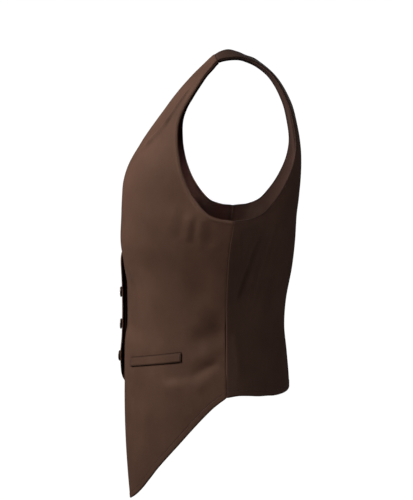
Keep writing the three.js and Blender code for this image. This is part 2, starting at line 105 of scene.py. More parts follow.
# Levels of the left front. e = front or neck edge, a and b = pull points, s = side seam or armhole edge
FRONT_LEVELS = table("w ex ey ez ax ay bx by sx sy sz", [
    [-640, -16, -142, -640, 84, -158, 157, -80, 159, 3, -640],
    [-560, -16, -143, -560, 85, -156, 157, -80, 160, 2, -560],
    [-463, -16, -142.5, -463, 84, -152, 158, -82, 158, 2, -463],
    [-420, -16, -143, -420, 80, -150, 150, -80, 149, 1.8, -420],
    [-384, -16, -142, -384, 78, -148, 145, -78, 144, 1.6, -384],
    [-345, -16, -141.3, -345, 80, -149, 147, -80, 145, 1.6, -345],
    [-300, -15, -141, -300, 83, -155, 153, -86, 151, 3, -300],
    [-262, 6, -140, -262, 86, -169, 161, -92, 159, 6, -262],
    [-224, 19, -137.5, -224, 88, -168, 167, -96, 166, 12, -224],
    [-200, 26, -137, -200, 88, -165, 168, -98, 165.5, 15, -200],
    [-175, 33, -136, -175, 88, -159, 166, -100, 163, 2, -175],
    [-150, 39.5, -128.6, -150, 88, -147, 160, -100, 158, -15, -150],
    [-122, 46.5, -115, -122, 87, -122, 150, -95, 152.5, -32, -122],
    [-90, 53.5, -92.8, -90, 86, -97, 136, -85, 146, -42, -90],
    [-60, 60.5, -69.4, -60, 86, -76, 123, -68, 137, -42, -60],
    [-32, 67.5, -45.9, -32, 88, -51, 114, -44, 128, -29.5, -32],
    [-14, 73.2, -28.6, -14, 89, -29, 109, -24.5, 123, -18, -17.5],
    [0, 76.6, -14.1, -0.4, 90.5, -13, 105, -11.2, 119, -10, -9],
    [13, 74, 0, 5.5, 88, 1, 104, 3, 118, 4.5, -5.5],
])
# The armhole edge of the left front: t and level from the underarm (v 0) to the shoulder (v 1)
FRONT_ARMHOLE = table("v t w", [
    [0, 1, -224], [0.059, 0.949, -222], [0.131, 0.885, -215], [0.218, 0.832, -198], [0.312, 0.81, -176],
    [0.413, 0.808, -150], [0.519, 0.813, -122], [0.631, 0.822, -92], [0.702, 0.866, -74], [0.755, 0.922, -61.5],
    [0.828, 0.976, -45], [0.891, 1, -30], [0.954, 1, -14], [1, 1, 0],
])
# Where the left front is cut away below the buttons: the sideways place of its edge at each level
CUTAWAY = table("w x", [
    [-640, 72], [-622, 66], [-571, 51], [-522, 34], [-495, 23], [-475, 13], [-460, 2], [-451, -8], [-443, -14],
    [-435, -16], [-300, -16],
])
# Levels of the left half of the back. s = side seam or armhole edge, c = middle of the back
BACK_LEVELS = table("w sx sy sz ax ay az bx by bz cy cz", [
    [-490, 160, 2, -490, 159, 58, -490, 86, 91.5, -490, 91.5, -490],
    [-463, 158, 2, -463, 158, 59, -463, 85, 92.5, -463, 92, -463],
    [-420, 149, 1.8, -420, 149, 57, -420, 82, 89, -420, 88.5, -420],
    [-384, 144, 1.6, -384, 143, 55, -384, 80, 85.5, -384, 85, -384],
    [-345, 145, 1.6, -345, 143, 57, -345, 82, 88, -345, 87.3, -345],
    [-300, 151, 3, -300, 149, 61, -300, 86, 96.5, -300, 95.5, -300],
    [-262, 159, 6, -262, 157, 68, -262, 92, 101.5, -262, 99.5, -262],
    [-224, 166, 12, -224, 165, 80, -224, 97, 104.5, -224, 101, -224],
    [-200, 165.5, 15, -200, 166, 94, -200, 96, 107, -200, 103, -200],
    [-175, 162.5, 36, -175, 162.5, 107, -175, 92, 107.5, -175, 104, -175],
    [-150, 157, 66, -150, 152, 110, -150, 86, 107, -150, 104, -150],
    [-125, 149, 86, -125, 139, 107, -125, 78, 105, -125, 102.5, -125],
    [-95, 143, 89, -95, 128, 100.5, -95, 68, 100, -95, 98, -95],
    [-65, 136, 84, -65, 114, 90, -65, 58, 93, -65, 90, -65],
    [-27, 127.5, 67, -31, 98, 70, -31, 46, 73, -31, 70.5, -31],
    [6, 121, 46, -14, 95, 45, -8, 40, 42, -5, 40, -6],
    [22, 118.5, 30, -7, 90, 29, 0, 40, 26, 0.4, 26, -1.5],
    [33, 118, 20, -4.9, 88, 17, 5.2, 44, 15, 5.8, 15, 1.5],
    [48, 118, 4.5, -5.5, 89, 2, 4, 45, 0, 11, 0, 8],
    [64, 119, -10, -9, 91, -12, -2.8, 50, -17, 5, -22, 8],
    [80, 123, -18, -17.5, 94, -26, -13, 55, -34, -12, -40, -10],
])
# The armhole edge of the back: t and level from the underarm (v 0) to the shoulder (v 1)
BACK_ARMHOLE = table("v t w", [
    [0, 0, -224], [0.066, 0.113, -221], [0.134, 0.215, -212.5], [0.195, 0.268, -198], [0.249, 0.286, -184],
    [0.319, 0.283, -163], [0.392, 0.25, -140], [0.46, 0.204, -118], [0.538, 0.146, -92], [0.622, 0.09, -65],
    [0.738, 0.028, -29], [0.823, 0, 6], [0.875, 0, 22], [0.906, 0, 33], [0.951, 0, 48], [1, 0, 64],
])

# The slanting hem of a front: share of its rise at each share of the way from the point to the side
FRONT_HEM = table("u rise", [
    [0, 0], [0.1, 0.052], [0.2, 0.129], [0.3, 0.233], [0.4, 0.349], [0.5, 0.459], [0.6, 0.571], [0.7, 0.689],
    [0.8, 0.806], [0.9, 0.915], [1, 1],
])
# The hem of the back: how far it drops below the side's at each share of the way to the middle
BACK_HEM = table("u drop", [
    [0, 0], [0.1, -2.4], [0.2, -1.6], [0.3, 0.4], [0.4, 1.8], [0.5, 4], [0.7, 6.3], [1, 8],
])

# Folds and pulls: a soft ridge (or trough) from one place to another. t = share of the way, w = level,
# wide = half width, high = height, in millimetres. Those of the first two lists are in the solids too.
FRONT_FOLDS = [
    [0.56, -442, 1.04, -416, 11, -1.3],
    [0.60, -458, 1.02, -438, 13, 1.2],
    [0.82, -236, 0.96, -266, 9, 0.8],
    [0.70, -238, 0.86, -276, 10, -0.7],
]
BACK_FOLDS = [
    [0.30, -300, 0.36, -440, 16, 0.5],
    [0.62, -290, 0.58, -430, 18, -0.8],
    [0.45, -120, 0.50, -260, 20, 1.2],
]
# The left front: the hollow under the arm, puckers at the armhole, a pull rising to the seam above the
# pocket, the drag below it, the slack between, and the skirt
CREASES_LEFT = [
    [0.875, -222, 0.85, -350, 19, -2.6],
    [0.60, -236, 0.56, -360, 24, 1.0],
    [0.812, -212, 0.785, -256, 3.6, 0.8],
    [0.836, -214, 0.818, -262, 3.4, -0.7],
    [0.858, -214, 0.866, -268, 4.2, 0.9],
    [0.900, -218, 0.915, -262, 3.8, -0.7],
    [0.775, -206, 0.745, -250, 4.0, -0.6],
    [0.735, -196, 0.690, -244, 5.0, 0.5],
    [0.775, -396, 1.02, -366, 14, -3.2],
    [0.78, -416, 1.00, -396, 9, 1.2],
    [0.62, -443, 0.81, -437, 5, -1.3],
    [0.77, -441, 0.97, -414, 6, -2.1],
    [0.60, -454, 0.75, -445, 8, 1.1],
    [0.82, -456, 0.95, -424, 8, 1.4],
    [0.735, -450, 0.78, -490, 8, -1.0],
    [0.50, -476, 0.44, -566, 14, 0.8],
    [0.62, -498, 0.55, -564, 10, -0.7],
    [0.85, -42, 0.60, -100, 5, 2.0],
    [0.70, -82, 0.40, -128, 5, 2.2],
    [0.52, -112, 0.22, -152, 5, 2.0],
    [0.25, -296, 0.25, -404, 34, -8.0],
    [0.94, -340, 0.96, -420, 12, -1.4],
]
CREASES_RIGHT = [
    [0.865, -224, 0.86, -340, 18, -2.3],
    [0.62, -240, 0.58, -350, 22, 0.9],
    [0.80, -211, 0.782, -252, 3.8, 0.7],
    [0.828, -213, 0.806, -264, 3.4, -0.7],
    [0.862, -214, 0.864, -260, 4.0, 0.8],
    [0.905, -218, 0.914, -266, 4.0, -0.6],
    [0.755, -202, 0.72, -248, 4.6, 0.5],
    [0.76, -392, 1.01, -364, 13, -2.7],
    [0.80, -412, 1.00, -398, 9, 1.1],
    [0.64, -441, 0.84, -430, 5, -1.0],
    [0.79, -438, 0.97, -416, 6, -1.6],
    [0.64, -456, 0.78, -446, 8, 1.0],
    [0.84, -452, 0.96, -430, 8, 1.2],
    [0.48, -490, 0.46, -560, 13, 0.7],
    [0.60, -490, 0.56, -552, 10, -0.8],
    [0.84, -44, 0.61, -97, 5, 1.9],
    [0.69, -84, 0.41, -126, 5, 2.1],
    [0.53, -110, 0.24, -154, 5, 2.0],
    [0.92, -336, 0.95, -412, 13, -1.5],
]
# The back, left half and right half: slack drawn slantwise from the shoulder blades down to the side seams
BACK_CREASES_LEFT = [
    [0.265, -216, 0.06, -350, 9, -3.8],
    [0.375, -214, 0.19, -372, 9, 3.8],
    [0.04, -226, 0.155, -296, 8, 2.0],
    [0.51, -222, 0.46, -362, 12, -2.4],
    [0.07, -368, 0.13, -446, 9, 1.2],
    [0.66, -236, 0.71, -390, 14, 1.2],
    [0.20, -420, 0.28, -372, 9, -0.7],
]
BACK_CREASES_RIGHT = [
    [0.25, -220, 0.08, -340, 9, -3.5],
    [0.36, -214, 0.21, -356, 9, 3.5],
    [0.06, -234, 0.14, -286, 8, 1.3],
    [0.49, -234, 0.48, -348, 12, -1.6],
    [0.09, -374, 0.12, -438, 10, 1.0],
    [0.64, -244, 0.68, -380, 13, 1.1],
]


def mix(start, end, share):
    """The value that lies the given share of the way from start to end."""
    return start + (end - start) * share


def smooth(share):
    """A soft step: 0 up to share 0, 1 from share 1 on, and three squares less two cubes between."""
    s = np.clip(share, 0, 1)
    return s * s * (3 - 2 * s)


def bump(distance, wide):
    """A soft hill of height 1 at distance 0: e to the minus square of distance over half width."""
    return np.exp(-((distance / wide) ** 2))


def value_at(rows, name, at, key="w"):
    """A column's value where the key column is at, on a cubic through each pair of rows.
    The slope at a row is that of the straight line between the rows on either side of it."""
    keys, values = rows[key], rows[name]
    last = len(keys) - 1
    before = np.maximum(np.arange(last + 1) - 1, 0)
    after = np.minimum(np.arange(last + 1) + 1, last)
    slopes = (values[after] - values[before]) / (keys[after] - keys[before])
    i = np.clip(np.searchsorted(keys[1:], at), 0, last - 1)
    span = keys[i + 1] - keys[i]
    s = np.clip((at - keys[i]) / span, 0, 1)
    s2, s3 = s * s, s * s * s
    return ((2 * s3 - 3 * s2 + 1) * values[i] + (s3 - 2 * s2 + s) * slopes[i] * span
            + (3 * s2 - 2 * s3) * values[i + 1] + (s3 - s2) * slopes[i + 1] * span)


def along(start, pull, second_pull, end, t):
    """A cubic curve with two end points and two pull points, weighted as a Bezier curve's are."""
    r = 1 - t
    return r * r * r * start + 3 * r * r * t * pull + 3 * r * t * t * second_pull + t * t * t * end


def front_form(t, w):
    """The left front: across, its level's cubic curve; up, its edge's height mixed into its side's by t."""
    at = {name: value_at(FRONT_LEVELS, name, w) for name in FRONT_LEVELS if name != "w"}
    x = along(at["ex"], at["ax"], at["bx"], at["sx"], t)
    y = along(at["ey"], at["ay"], at["by"], at["sy"], t)
    return np.stack(np.broadcast_arrays(x, y, mix(at["ez"], at["sz"], t)), -1)


def back_form(t, w):
    """The left half of the back: its level's cubic curve in all three directions, x ending at 0."""
    at = {name: value_at(BACK_LEVELS, name, w) for name in BACK_LEVELS if name != "w"}
    x = along(at["sx"], at["ax"], at["bx"], 0, t)
    y = along(at["sy"], at["ay"], at["by"], at["cy"], t)
    z = along(at["sz"], at["az"], at["bz"], at["cz"], t)
    return np.stack(np.broadcast_arrays(x, y, z), -1)


def unit(vectors):
    """The same directions with length 1."""
    return vectors / np.maximum(np.linalg.norm(vectors, axis=-1, keepdims=True), 1e-9)


def outward(form, t, w):
    """The way that a form faces: the cross product of its steps across and up."""
    run = form(np.minimum(t + PROBE["sweep"], 1), w) - form(np.maximum(t - PROBE["sweep"], 0), w)
    climb = form(t, w + PROBE["rise"]) - form(t, w - PROBE["rise"])
    return unit(np.cross(run, climb))


def fold_height(folds, t, w):
    """All folds summed: each is a soft hill across its own line, faded in and out at the line's ends."""
    height = np.zeros(np.broadcast(t, w).shape)
    for t1, w1, t2, w2, wide, high in folds:
        run_t, run_w = (t2 - t1) * FOLD_SPAN, w2 - w1
        from_t, from_w = (t - t1) * FOLD_SPAN, w - w1
        length = math.hypot(run_t, run_w)
        share = (from_t * run_t + from_w * run_w) / length ** 2
        off = (from_t * run_w - from_w * run_t) / length
        fade = smooth(share * FOLD_PARTS) * smooth((1 - share) * FOLD_PARTS)
        height += high * fade * bump(off, wide)
    return height


def folded(form, folds):
    """A form pushed out along its own direction by its folds' height."""
    def cloth(t, w):
        return form(t, w) + outward(form, t, w) * fold_height(folds, t, w)[..., None]
    return cloth


def share_at_x(x, w):
    """The share t at which the left front reaches the sideways place x, by halving the range again and again."""
    low = np.zeros(np.broadcast(x, w).shape)
    high = np.full(low.shape, SEARCH["furthest"])
    for _ in range(SEARCH["halvings"]):
        middle = (low + high) / 2
        short = front_form(middle, w)[..., 0] < x
        low = np.where(short, middle, low)
        high = np.where(short, high, middle)
    return low


def edge_share(w):
    """The share t of the front's own edge: past the cut-away it is the start of the curve."""
    cut = w < CUTAWAY["w"][-2]
    return np.where(cut, share_at_x(value_at(CUTAWAY, "x", w), w), 0)


def front_place(u, v):
    """t and w on a front: u from edge to side, v from hem (0) over the underarm (1) to shoulder (2)."""
    low, high = np.clip(v, 0, 1), np.clip(v - 1, 0, 1)
    left = mix(TIP, UNDERARM, low)
    t_low = mix(edge_share(left), 1, u)
    w_low = mix(left, mix(SIDE_HEM, UNDERARM, low), value_at(FRONT_HEM, "rise", u, "u"))
    t_high = value_at(FRONT_ARMHOLE, "t", high, "v") * u
    w_high = mix(mix(UNDERARM, FRONT_SHOULDER, high), value_at(FRONT_ARMHOLE, "w", high, "v"), u)
    return np.where(v <= 1, t_low, t_high), np.where(v <= 1, w_low, w_high)


def back_place(u, v):
    """t and w on the left half of the back: u from the side or armhole (0) to the middle (1), v as on a front."""
    low, high = np.clip(v, 0, 1), np.clip(v - 1, 0, 1)
    w_low = mix(SIDE_HEM - value_at(BACK_HEM, "drop", u, "u"), UNDERARM, low)
    in_neck = np.maximum(0, (u - NECK_SHARE) / (1 - NECK_SHARE))
    top = BACK_NECK_LEVEL + (BACK_SHOULDER - BACK_NECK_LEVEL) * (1 - in_neck) ** NECK_CURVE
    t_high = mix(value_at(BACK_ARMHOLE, "t", high, "v"), 1, u)
    side = value_at(BACK_ARMHOLE, "w", high, "v")
    w_high = mix(side, mix(UNDERARM, top, high), smooth(u / NECK_SHARE))
    return np.where(v <= 1, u + 0 * v, t_high), np.where(v <= 1, w_low, w_high)


def joined(*stops):
    """Even runs of values from stop to stop, each given as (value, steps to the next)."""
    runs = [np.linspace(a, b, count + 1)[1:] for (a, count), (b, _) in zip(stops[:-1], stops[1:])]
    return np.concatenate([[stops[0][0]], *runs])


def grid_normals(grid):
    """The way that a grid faces at each point: the cross product of the steps to its neighbours."""
    across = np.diff(np.pad(grid, ((0, 0), (1, 1), (0, 0)), "edge"), axis=1)
    up = np.diff(np.pad(grid, ((1, 1), (0, 0), (0, 0)), "edge"), axis=0)
    return unit(np.cross(across[:, 1:] + across[:, :-1], up[1:] + up[:-1]))


MIRROR = np.array([-1, 1, 1])


def reflected(grid):
    """A grid on the other side of the body, with its columns turned round."""
    return grid[:, ::-1] * MIRROR


def border_gaps(grid):
    """Distances of each point from the first column, last column, first row and last row: the length of the
    way along its own row or column, times the sine of the angle at which that way meets the border."""
    def from_first(points):
        steps = np.linalg.norm(np.diff(points, axis=1), axis=-1)
        run = np.concatenate([np.zeros((len(points), 1)), np.cumsum(steps, axis=1)], axis=1)
        border = unit(np.gradient(points[:, 0], axis=0))
        leaving = unit(points[:, min(3, points.shape[1] - 1)] - points[:, 0])
        sine = np.linalg.norm(np.cross(border, leaving), axis=-1)
        return run * sine[:, None]
    turned = grid.swapaxes(0, 1)
    return (from_first(grid), from_first(grid[:, ::-1])[:, ::-1],
            from_first(turned).T, from_first(turned[:, ::-1])[:, ::-1].T)


def gap_to(points, line):
    """Distance of every point of a grid from a line: the least of its distances from the line's pieces, each
    from the nearest place on the piece."""
    start, run = line[:-1], np.diff(line, axis=0)
    away = points[:, :, None].astype(np.float32) - start.astype(np.float32)
    share = np.clip((away * run).sum(-1) / (run ** 2).sum(-1), 0, 1)
    return np.linalg.norm(away - share[..., None] * run, axis=-1).min(-1).astype(float)


def girth(form, t, w, steps=14):
    """Length along a level from its start to t: the sum of the straight steps between even shares."""
    shares = np.linspace(0, 1, steps + 1)
    points = form(t[..., None] * shares, w[..., None] + 0 * shares)
    return np.linalg.norm(np.diff(points, axis=-2), axis=-1).sum(-1)


def add_mesh(name, points, quads, material, uv=None, marks=None, triangles=None):
    """A smooth mesh from arrays: points in millimetres, quads as four columns of point numbers."""
    mesh = bpy.data.meshes.new(name)
    mesh.vertices.add(len(points))
    mesh.vertices.foreach_set("co", (points * MM).astype(np.float32).ravel())
    corners = [quads.ravel()]
    totals = [np.full(len(quads), 4)]
    if triangles is not None:
        corners.append(triangles.ravel())
        totals.append(np.full(len(triangles), 3))
    corners, totals = np.concatenate(corners), np.concatenate(totals)
    mesh.loops.add(len(corners))
    mesh.loops.foreach_set("vertex_index", corners.astype(np.int32))
    mesh.polygons.add(len(totals))
    starts = np.concatenate([[0], np.cumsum(totals)[:-1]])
    mesh.polygons.foreach_set("loop_start", starts.astype(np.int32))
    mesh.polygons.foreach_set("use_smooth", np.ones(len(totals), bool))
    mesh.update(calc_edges=True)
    if uv is not None:
        layer = mesh.uv_layers.new(name="Cloth")
        layer.data.foreach_set("uv", uv[corners].astype(np.float32).ravel())
    for mark, values in (marks or {}).items():
        attribute = mesh.attributes.new(mark, "FLOAT", "POINT")
        attribute.data.foreach_set("value", values.astype(np.float32))
    mesh.validate()
    mesh.materials.append(material)
    piece = bpy.data.objects.new(name, mesh)
    bpy.context.scene.collection.objects.link(piece)
    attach(piece, "root")
    return piece


def shell(name, outer, inner, material, uv, marks, edges, turns=3):
    """A closed sheet between two grids. Its rim is half a circle from outer to inner edge, as far out as
    half the wall times edges = (first row, last column, last row, first column)."""
    rows, columns = outer.shape[:2]
    number = np.arange(rows * columns).reshape(rows, columns)
    face = np.stack([number[:-1, :-1], number[:-1, 1:], number[1:, 1:], number[1:, :-1]], -1).reshape(-1, 4)
    loop = np.concatenate([number[0], number[1:, -1], number[-1, -2::-1], number[-2:0:-1, 0]])
    lengths = [columns, rows - 1, columns - 1, rows - 2]
    round_out = np.concatenate([np.full(length, edge) for length, edge in zip(lengths, edges)])
    out_flat, in_flat = outer.reshape(-1, 3), inner.reshape(-1, 3)
    middle = (out_flat[loop] + in_flat[loop]) / 2
    half = (out_flat[loop] - in_flat[loop]) / 2
    way = unit(np.cross(np.roll(middle, -1, 0) - np.roll(middle, 1, 0), half))
    reach = np.linalg.norm(half, axis=1) * round_out
    angles = np.pi * np.arange(1, turns + 1) / (turns + 1)
    rim = (middle + half * np.cos(angles)[:, None, None]
           + way * (reach[:, None] * np.sin(angles)[:, None, None]))
    count = rows * columns
    rings = np.concatenate([loop[None], 2 * count + np.arange(turns * len(loop)).reshape(turns, -1),
                            loop[None] + count])
    nxt = np.roll(rings, -1, axis=1)
    band = np.stack([rings[:-1], rings[1:], nxt[1:], nxt[:-1]], -1).reshape(-1, 4)
    points = np.concatenate([out_flat, in_flat, rim.reshape(-1, 3)])
    quads = np.concatenate([face, face[:, ::-1] + count, band])

    def spread(values):
        flat = values.reshape(count, -1)
        return np.concatenate([flat, flat, *[flat[loop]] * turns])
    every_mark = {mark: spread(values * MM)[:, 0] for mark, values in marks.items()}
    inside = np.concatenate([np.zeros(count), np.ones(count), np.full(turns * len(loop), 0.5)])
    every_mark["inside"] = inside
    return add_mesh(name, points, quads, material, spread(uv * MM), every_mark)


def tube(path, radius, sides=8):
    """Points and quads of a round tube along each path of a set (paths, steps, 3), closed to a point at both
    ends: circles of the given radius in the plane across the path, the radius falling to nothing at the ends."""
    paths, steps = path.shape[:2]
    tangent = unit(np.gradient(path, axis=1))
    spare = np.where(np.abs(tangent[..., 2:]) < 0.9, [0, 0, 1], [1, 0, 0])
    side = unit(np.cross(tangent, spare))
    other = np.cross(tangent, side)
    angles = 2 * np.pi * np.arange(sides) / sides
    size = np.broadcast_to(radius, (steps,)).reshape(1, steps, 1, 1)
    ring = (side[:, :, None] * np.cos(angles)[:, None] + other[:, :, None] * np.sin(angles)[:, None]) * size
    points = (path[:, :, None] + ring).reshape(-1, 3)
    number = np.arange(paths * steps * sides).reshape(paths, steps, sides)
    turned = np.roll(number, -1, axis=2)
    quads = np.stack([number[:, :-1], turned[:, :-1], turned[:, 1:], number[:, 1:]], -1).reshape(-1, 4)
    caps = [number[:, 0, ::-1], number[:, -1]]
    fans = [np.stack([cap[:, 0:1] + 0 * cap[:, 1:-1], cap[:, 1:-1], cap[:, 2:]], -1).reshape(-1, 3)
            for cap in caps]
    return points, quads, np.concatenate(fans)


def stitch_run(path, normals, length, pitch, radius, lift=0.25):
    """Separate stitches laid along a path: even pieces of it, each a short arc that dips into the cloth at
    both ends and rises by its own lift in the middle."""
    run = np.concatenate([[0], np.cumsum(np.linalg.norm(np.diff(path, axis=0), axis=1))])
    count = int(run[-1] // pitch)
    arc = np.linspace(-0.5, 0.5, 6)
    places = (np.arange(count)[:, None] + 0.5) * pitch + arc * length
    def sample(values):
        return np.stack([np.interp(places, run, values[:, axis]) for axis in range(3)], -1)
    height = lift * (1 - (2 * arc) ** 2) - lift * 0.4
    size = radius * np.sqrt(np.maximum(1 - (2 * arc) ** 2, 0.04))
    return tube(sample(path) + sample(normals) * height[:, None], size, 6)


def merged(parts):
    """Several (points, quads, triangles) as one, with the point numbers moved on."""
    starts = np.cumsum([0, *[len(points) for points, _, _ in parts[:-1]]])
    return (np.concatenate([points for points, _, _ in parts]),
            np.concatenate([quads + start for (_, quads, _), start in zip(parts, starts)]),
            np.concatenate([fans + start for (_, _, fans), start in zip(parts, starts)]))


# Fronts


FRONT_US = joined((0.004, 40), (LAP_SHARE, 66), (0.955, 14), (1, 0))
FRONT_VS = joined((0.003, 14), (0.06, 96), (0.97, 6), (1, 6), (1.03, 108), (2, 0))


def front_points(u, v, folds):
    """Points of the left front's folded form with their places."""
    t, w = front_place(u, v)
    return folded(front_form, folds)(t, w), t, w


def sewn_facing(normals, other, gap):
    """Directions that turn to a neighbour's across the last few millimetres before a seam."""
    share = 1 - smooth(gap / SEAM["turn"])
    return unit(normals + (other - normals) * share[..., None])


def side_facing(w):
    """The way that front and back face together at the side seam: the mean of both."""
    return unit(outward(front_form, 1 + 0 * w, w) + outward(back_form, 0 * w, w))


def shoulder_facing(t):
    """The way that front and back face together at the shoulder seam, for a share t of the front's strap."""
    back = back_place(NECK_SHARE * (1 - t), 2 + 0 * t)
    return unit(outward(front_form, t, FRONT_SHOULDER + 0 * t) + outward(back_form, *back))


def pocket_gap(t, w):
    """Distance from the edge of the pocket welt's place, negative inside it: the larger of the distances past
    its ends and past its long sides, in lengths measured on the cloth."""
    share = (t - WELT["front_t"]) / (WELT["back_t"] - WELT["front_t"])
    long_way = (WELT["back_t"] - WELT["front_t"]) * FOLD_SPAN
    past_end = np.maximum(-share, share - 1) * long_way
    top = mix(WELT["front_top"], WELT["back_top"], share)
    past_side = np.maximum(w - top, top - WELT["tall"] - w)
    return np.maximum(past_end, past_side)


def front_grid(folds):
    """Outer points of the left front, the way they face and the distances from its borders."""
    v, u = np.meshgrid(FRONT_VS, FRONT_US, indexing="ij")
    grid, t, w = front_points(u, v, folds)
    edge, side, hem, top = border_gaps(grid)
    armhole = gap_to(grid, grid[FRONT_VS >= 1, -1])
    seam = np.where(v > 1, SEAM["none"], side)
    marks = {"edge_gap": edge, "side_gap": seam, "armhole_gap": armhole, "hem_gap": hem, "top_gap": top,
             "pocket_gap": pocket_gap(t, w)}
    uv = np.stack([girth(front_form, t, w), w], -1)
    return grid, v, t, w, marks, uv


def front_relief(v, marks, room):
    """Small form of a front's outer face: a soft roll along the neck edge, a ridge at the armhole edge, a dip
    into each seam, a thicker turned hem and a hollow pressed round the pocket welt."""
    above = smooth((v - 0.92) * 8)
    neck_edge = marks["edge_gap"]
    neck_roll = room.neck_roll / MM * (bump(neck_edge - 3, 2.6) - 0.5 * (1 - smooth(neck_edge / 3))) * above
    seam = -0.55 * bump(marks["side_gap"], 1.4) - 0.4 * bump(marks["top_gap"], 1.4)
    armhole = 0.9 * bump(marks["armhole_gap"] - 2.6, 2.2)
    hem = room.hem_step / MM * (1 - smooth((marks["hem_gap"] - 5.6) / 1.6))
    pocket = -0.5 * bump(marks["pocket_gap"], 2.2)
    return neck_roll + seam + armhole + hem + pocket


def left_depth(x, z):
    """Depth of the left front's outer face; past its edge it falls away as the square of the distance."""
    edge_point = front_form(edge_share(z), z)
    past = edge_point[..., 1] + LAP["fall"] * (edge_point[..., 0] - x) ** 2
    return np.where(x <= edge_point[..., 0], past, front_form(share_at_x(x, z), z)[..., 1])


def lapped(points, wall):
    """Points of the right front moved out so that it lies on the left one: the lesser of its own depth and the
    left front's less a wall and a gap, with the corner between them rounded, and a flare along its edge."""
    x, y, z = points[..., 0], points[..., 1], points[..., 2]
    near = (x > -LAP["width"]) & (z > TIP) & (z < UNDERARM)
    low = bump(z - LAP["flare_level"], LAP["flare_tall"])
    flare = (LAP["roll"] + LAP["flare"] * low) * smooth((x + LAP["reach"]) / (2 * LAP["reach"]))
    limit = np.where(near, 0.0, y)
    limit[near] = left_depth(x[near], z[near]) - wall - LAP["gap"] - LAP["spare"]
    share = smooth(0.5 + (limit - y) / (4 * LAP["blend"]))
    lesser = mix(limit, y, share) - LAP["blend"] * share * (1 - share)
    out = points.copy()
    out[..., 1] = np.where(near, lesser - flare, y)
    return out


def right_depth(x, z, wall):
    """Depth of the right front's outer face at x, z."""
    own = front_form(share_at_x(-x, z), z)[..., 1]
    return lapped(np.stack([x, own, z], -1), wall)[..., 1]


def hem_path(grid, hem, inset):
    """A line at an even distance from the hem: on each column, the place where its hem distance passes inset."""
    row = np.clip((hem < inset).sum(0), 1, len(grid) - 1)
    column = np.arange(grid.shape[1])
    below, above = hem[row - 1, column], hem[row, column]
    share = ((inset - below) / np.maximum(above - below, 1e-9))[:, None]
    return mix(grid[row - 1, column], grid[row, column], np.clip(share, 0, 1)), row


def built_front(side, wall, room):
    """Outer grid, inner grid, marks and lengths of one front, and the way that it faces."""
    left = side == "left"
    grid, v, t, w, marks, uv = front_grid(FRONT_FOLDS + (CREASES_LEFT if left else CREASES_RIGHT))
    relief = front_relief(v, marks, room)
    side_way, top_way = side_facing(w), shoulder_facing(t)
    side_gap, top_gap = marks["side_gap"], marks["top_gap"]
    if not left:
        grid = lapped(reflected(grid), wall)
        relief, uv, side_gap, top_gap = (array[:, ::-1] for array in (relief, uv, side_gap, top_gap))
        side_way, top_way = reflected(side_way), reflected(top_way)
        marks = {name: values[:, ::-1] for name, values in marks.items()}
    normals = sewn_facing(sewn_facing(grid_normals(grid), side_way, side_gap), top_way, top_gap)
    return grid + normals * relief[..., None], grid - normals * wall, marks, uv, normals


def make_fronts(context):
    """Both fronts, the stitches of their hems and what they replace."""
    sizes = context.scene.waistcoat_sizes
    wall = sizes.front_wall / MM
    cloth = suiting_material(context)
    for side in ("left", "right"):
        outer, inner, marks, uv, normals = built_front(side, wall, sizes)
        edges = (1, SEAM["bulge"], SEAM["bulge"], 1) if side == "left" else (1, 1, SEAM["bulge"], SEAM["bulge"])
        piece = shell(f"front_{side}_cloth", outer, inner, cloth, uv, marks, edges)
        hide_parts(f"front_{side}")
        path, row = hem_path(outer, marks["hem_gap"], sizes.hem_stitch / MM)
        facing = normals[row, np.arange(outer.shape[1])]
        points, quads, fans = stitch_run(path[3:-2], facing[3:-2], 2.2, 3.4, 0.26)
        thread = add_mesh(f"hem_stitches_{side}", points, quads, thread_material(context), triangles=fans)


# Back


BACK_US = joined((0, 12), (0.035, 36), (NECK_SHARE, 48), (1, 0))
BACK_VS = joined((0.003, 12), (0.05, 84), (0.97, 5), (1, 5), (1.03, 112), (2, 0))


def back_points(u, v, folds):
    """Left half of the back's outer points. Its last rows ease onto the front's shoulder seam."""
    t, w = back_place(u, v)
    centred = smooth((1 - t) * 8)
    height = fold_height(BACK_FOLDS, t, w) + fold_height(folds, t, w) * centred
    grid = back_form(t, w) + outward(back_form, t, w) * height[..., None]
    on_seam = u <= NECK_SHARE
    seam = front_form(1 - np.minimum(u / NECK_SHARE, 1), FRONT_SHOULDER + 0 * u)
    miss = (seam - back_form(*back_place(u, 2 + 0 * v))) * on_seam[..., None]
    grid = grid + miss * smooth((v - 1.9) * 10)[..., None]
    return grid, t, w


def joined_halves(left, right):
    """One array over the whole back: the left half, then the right one turned round without its middle."""
    return np.concatenate([left, right[:, -2::-1]], axis=1)


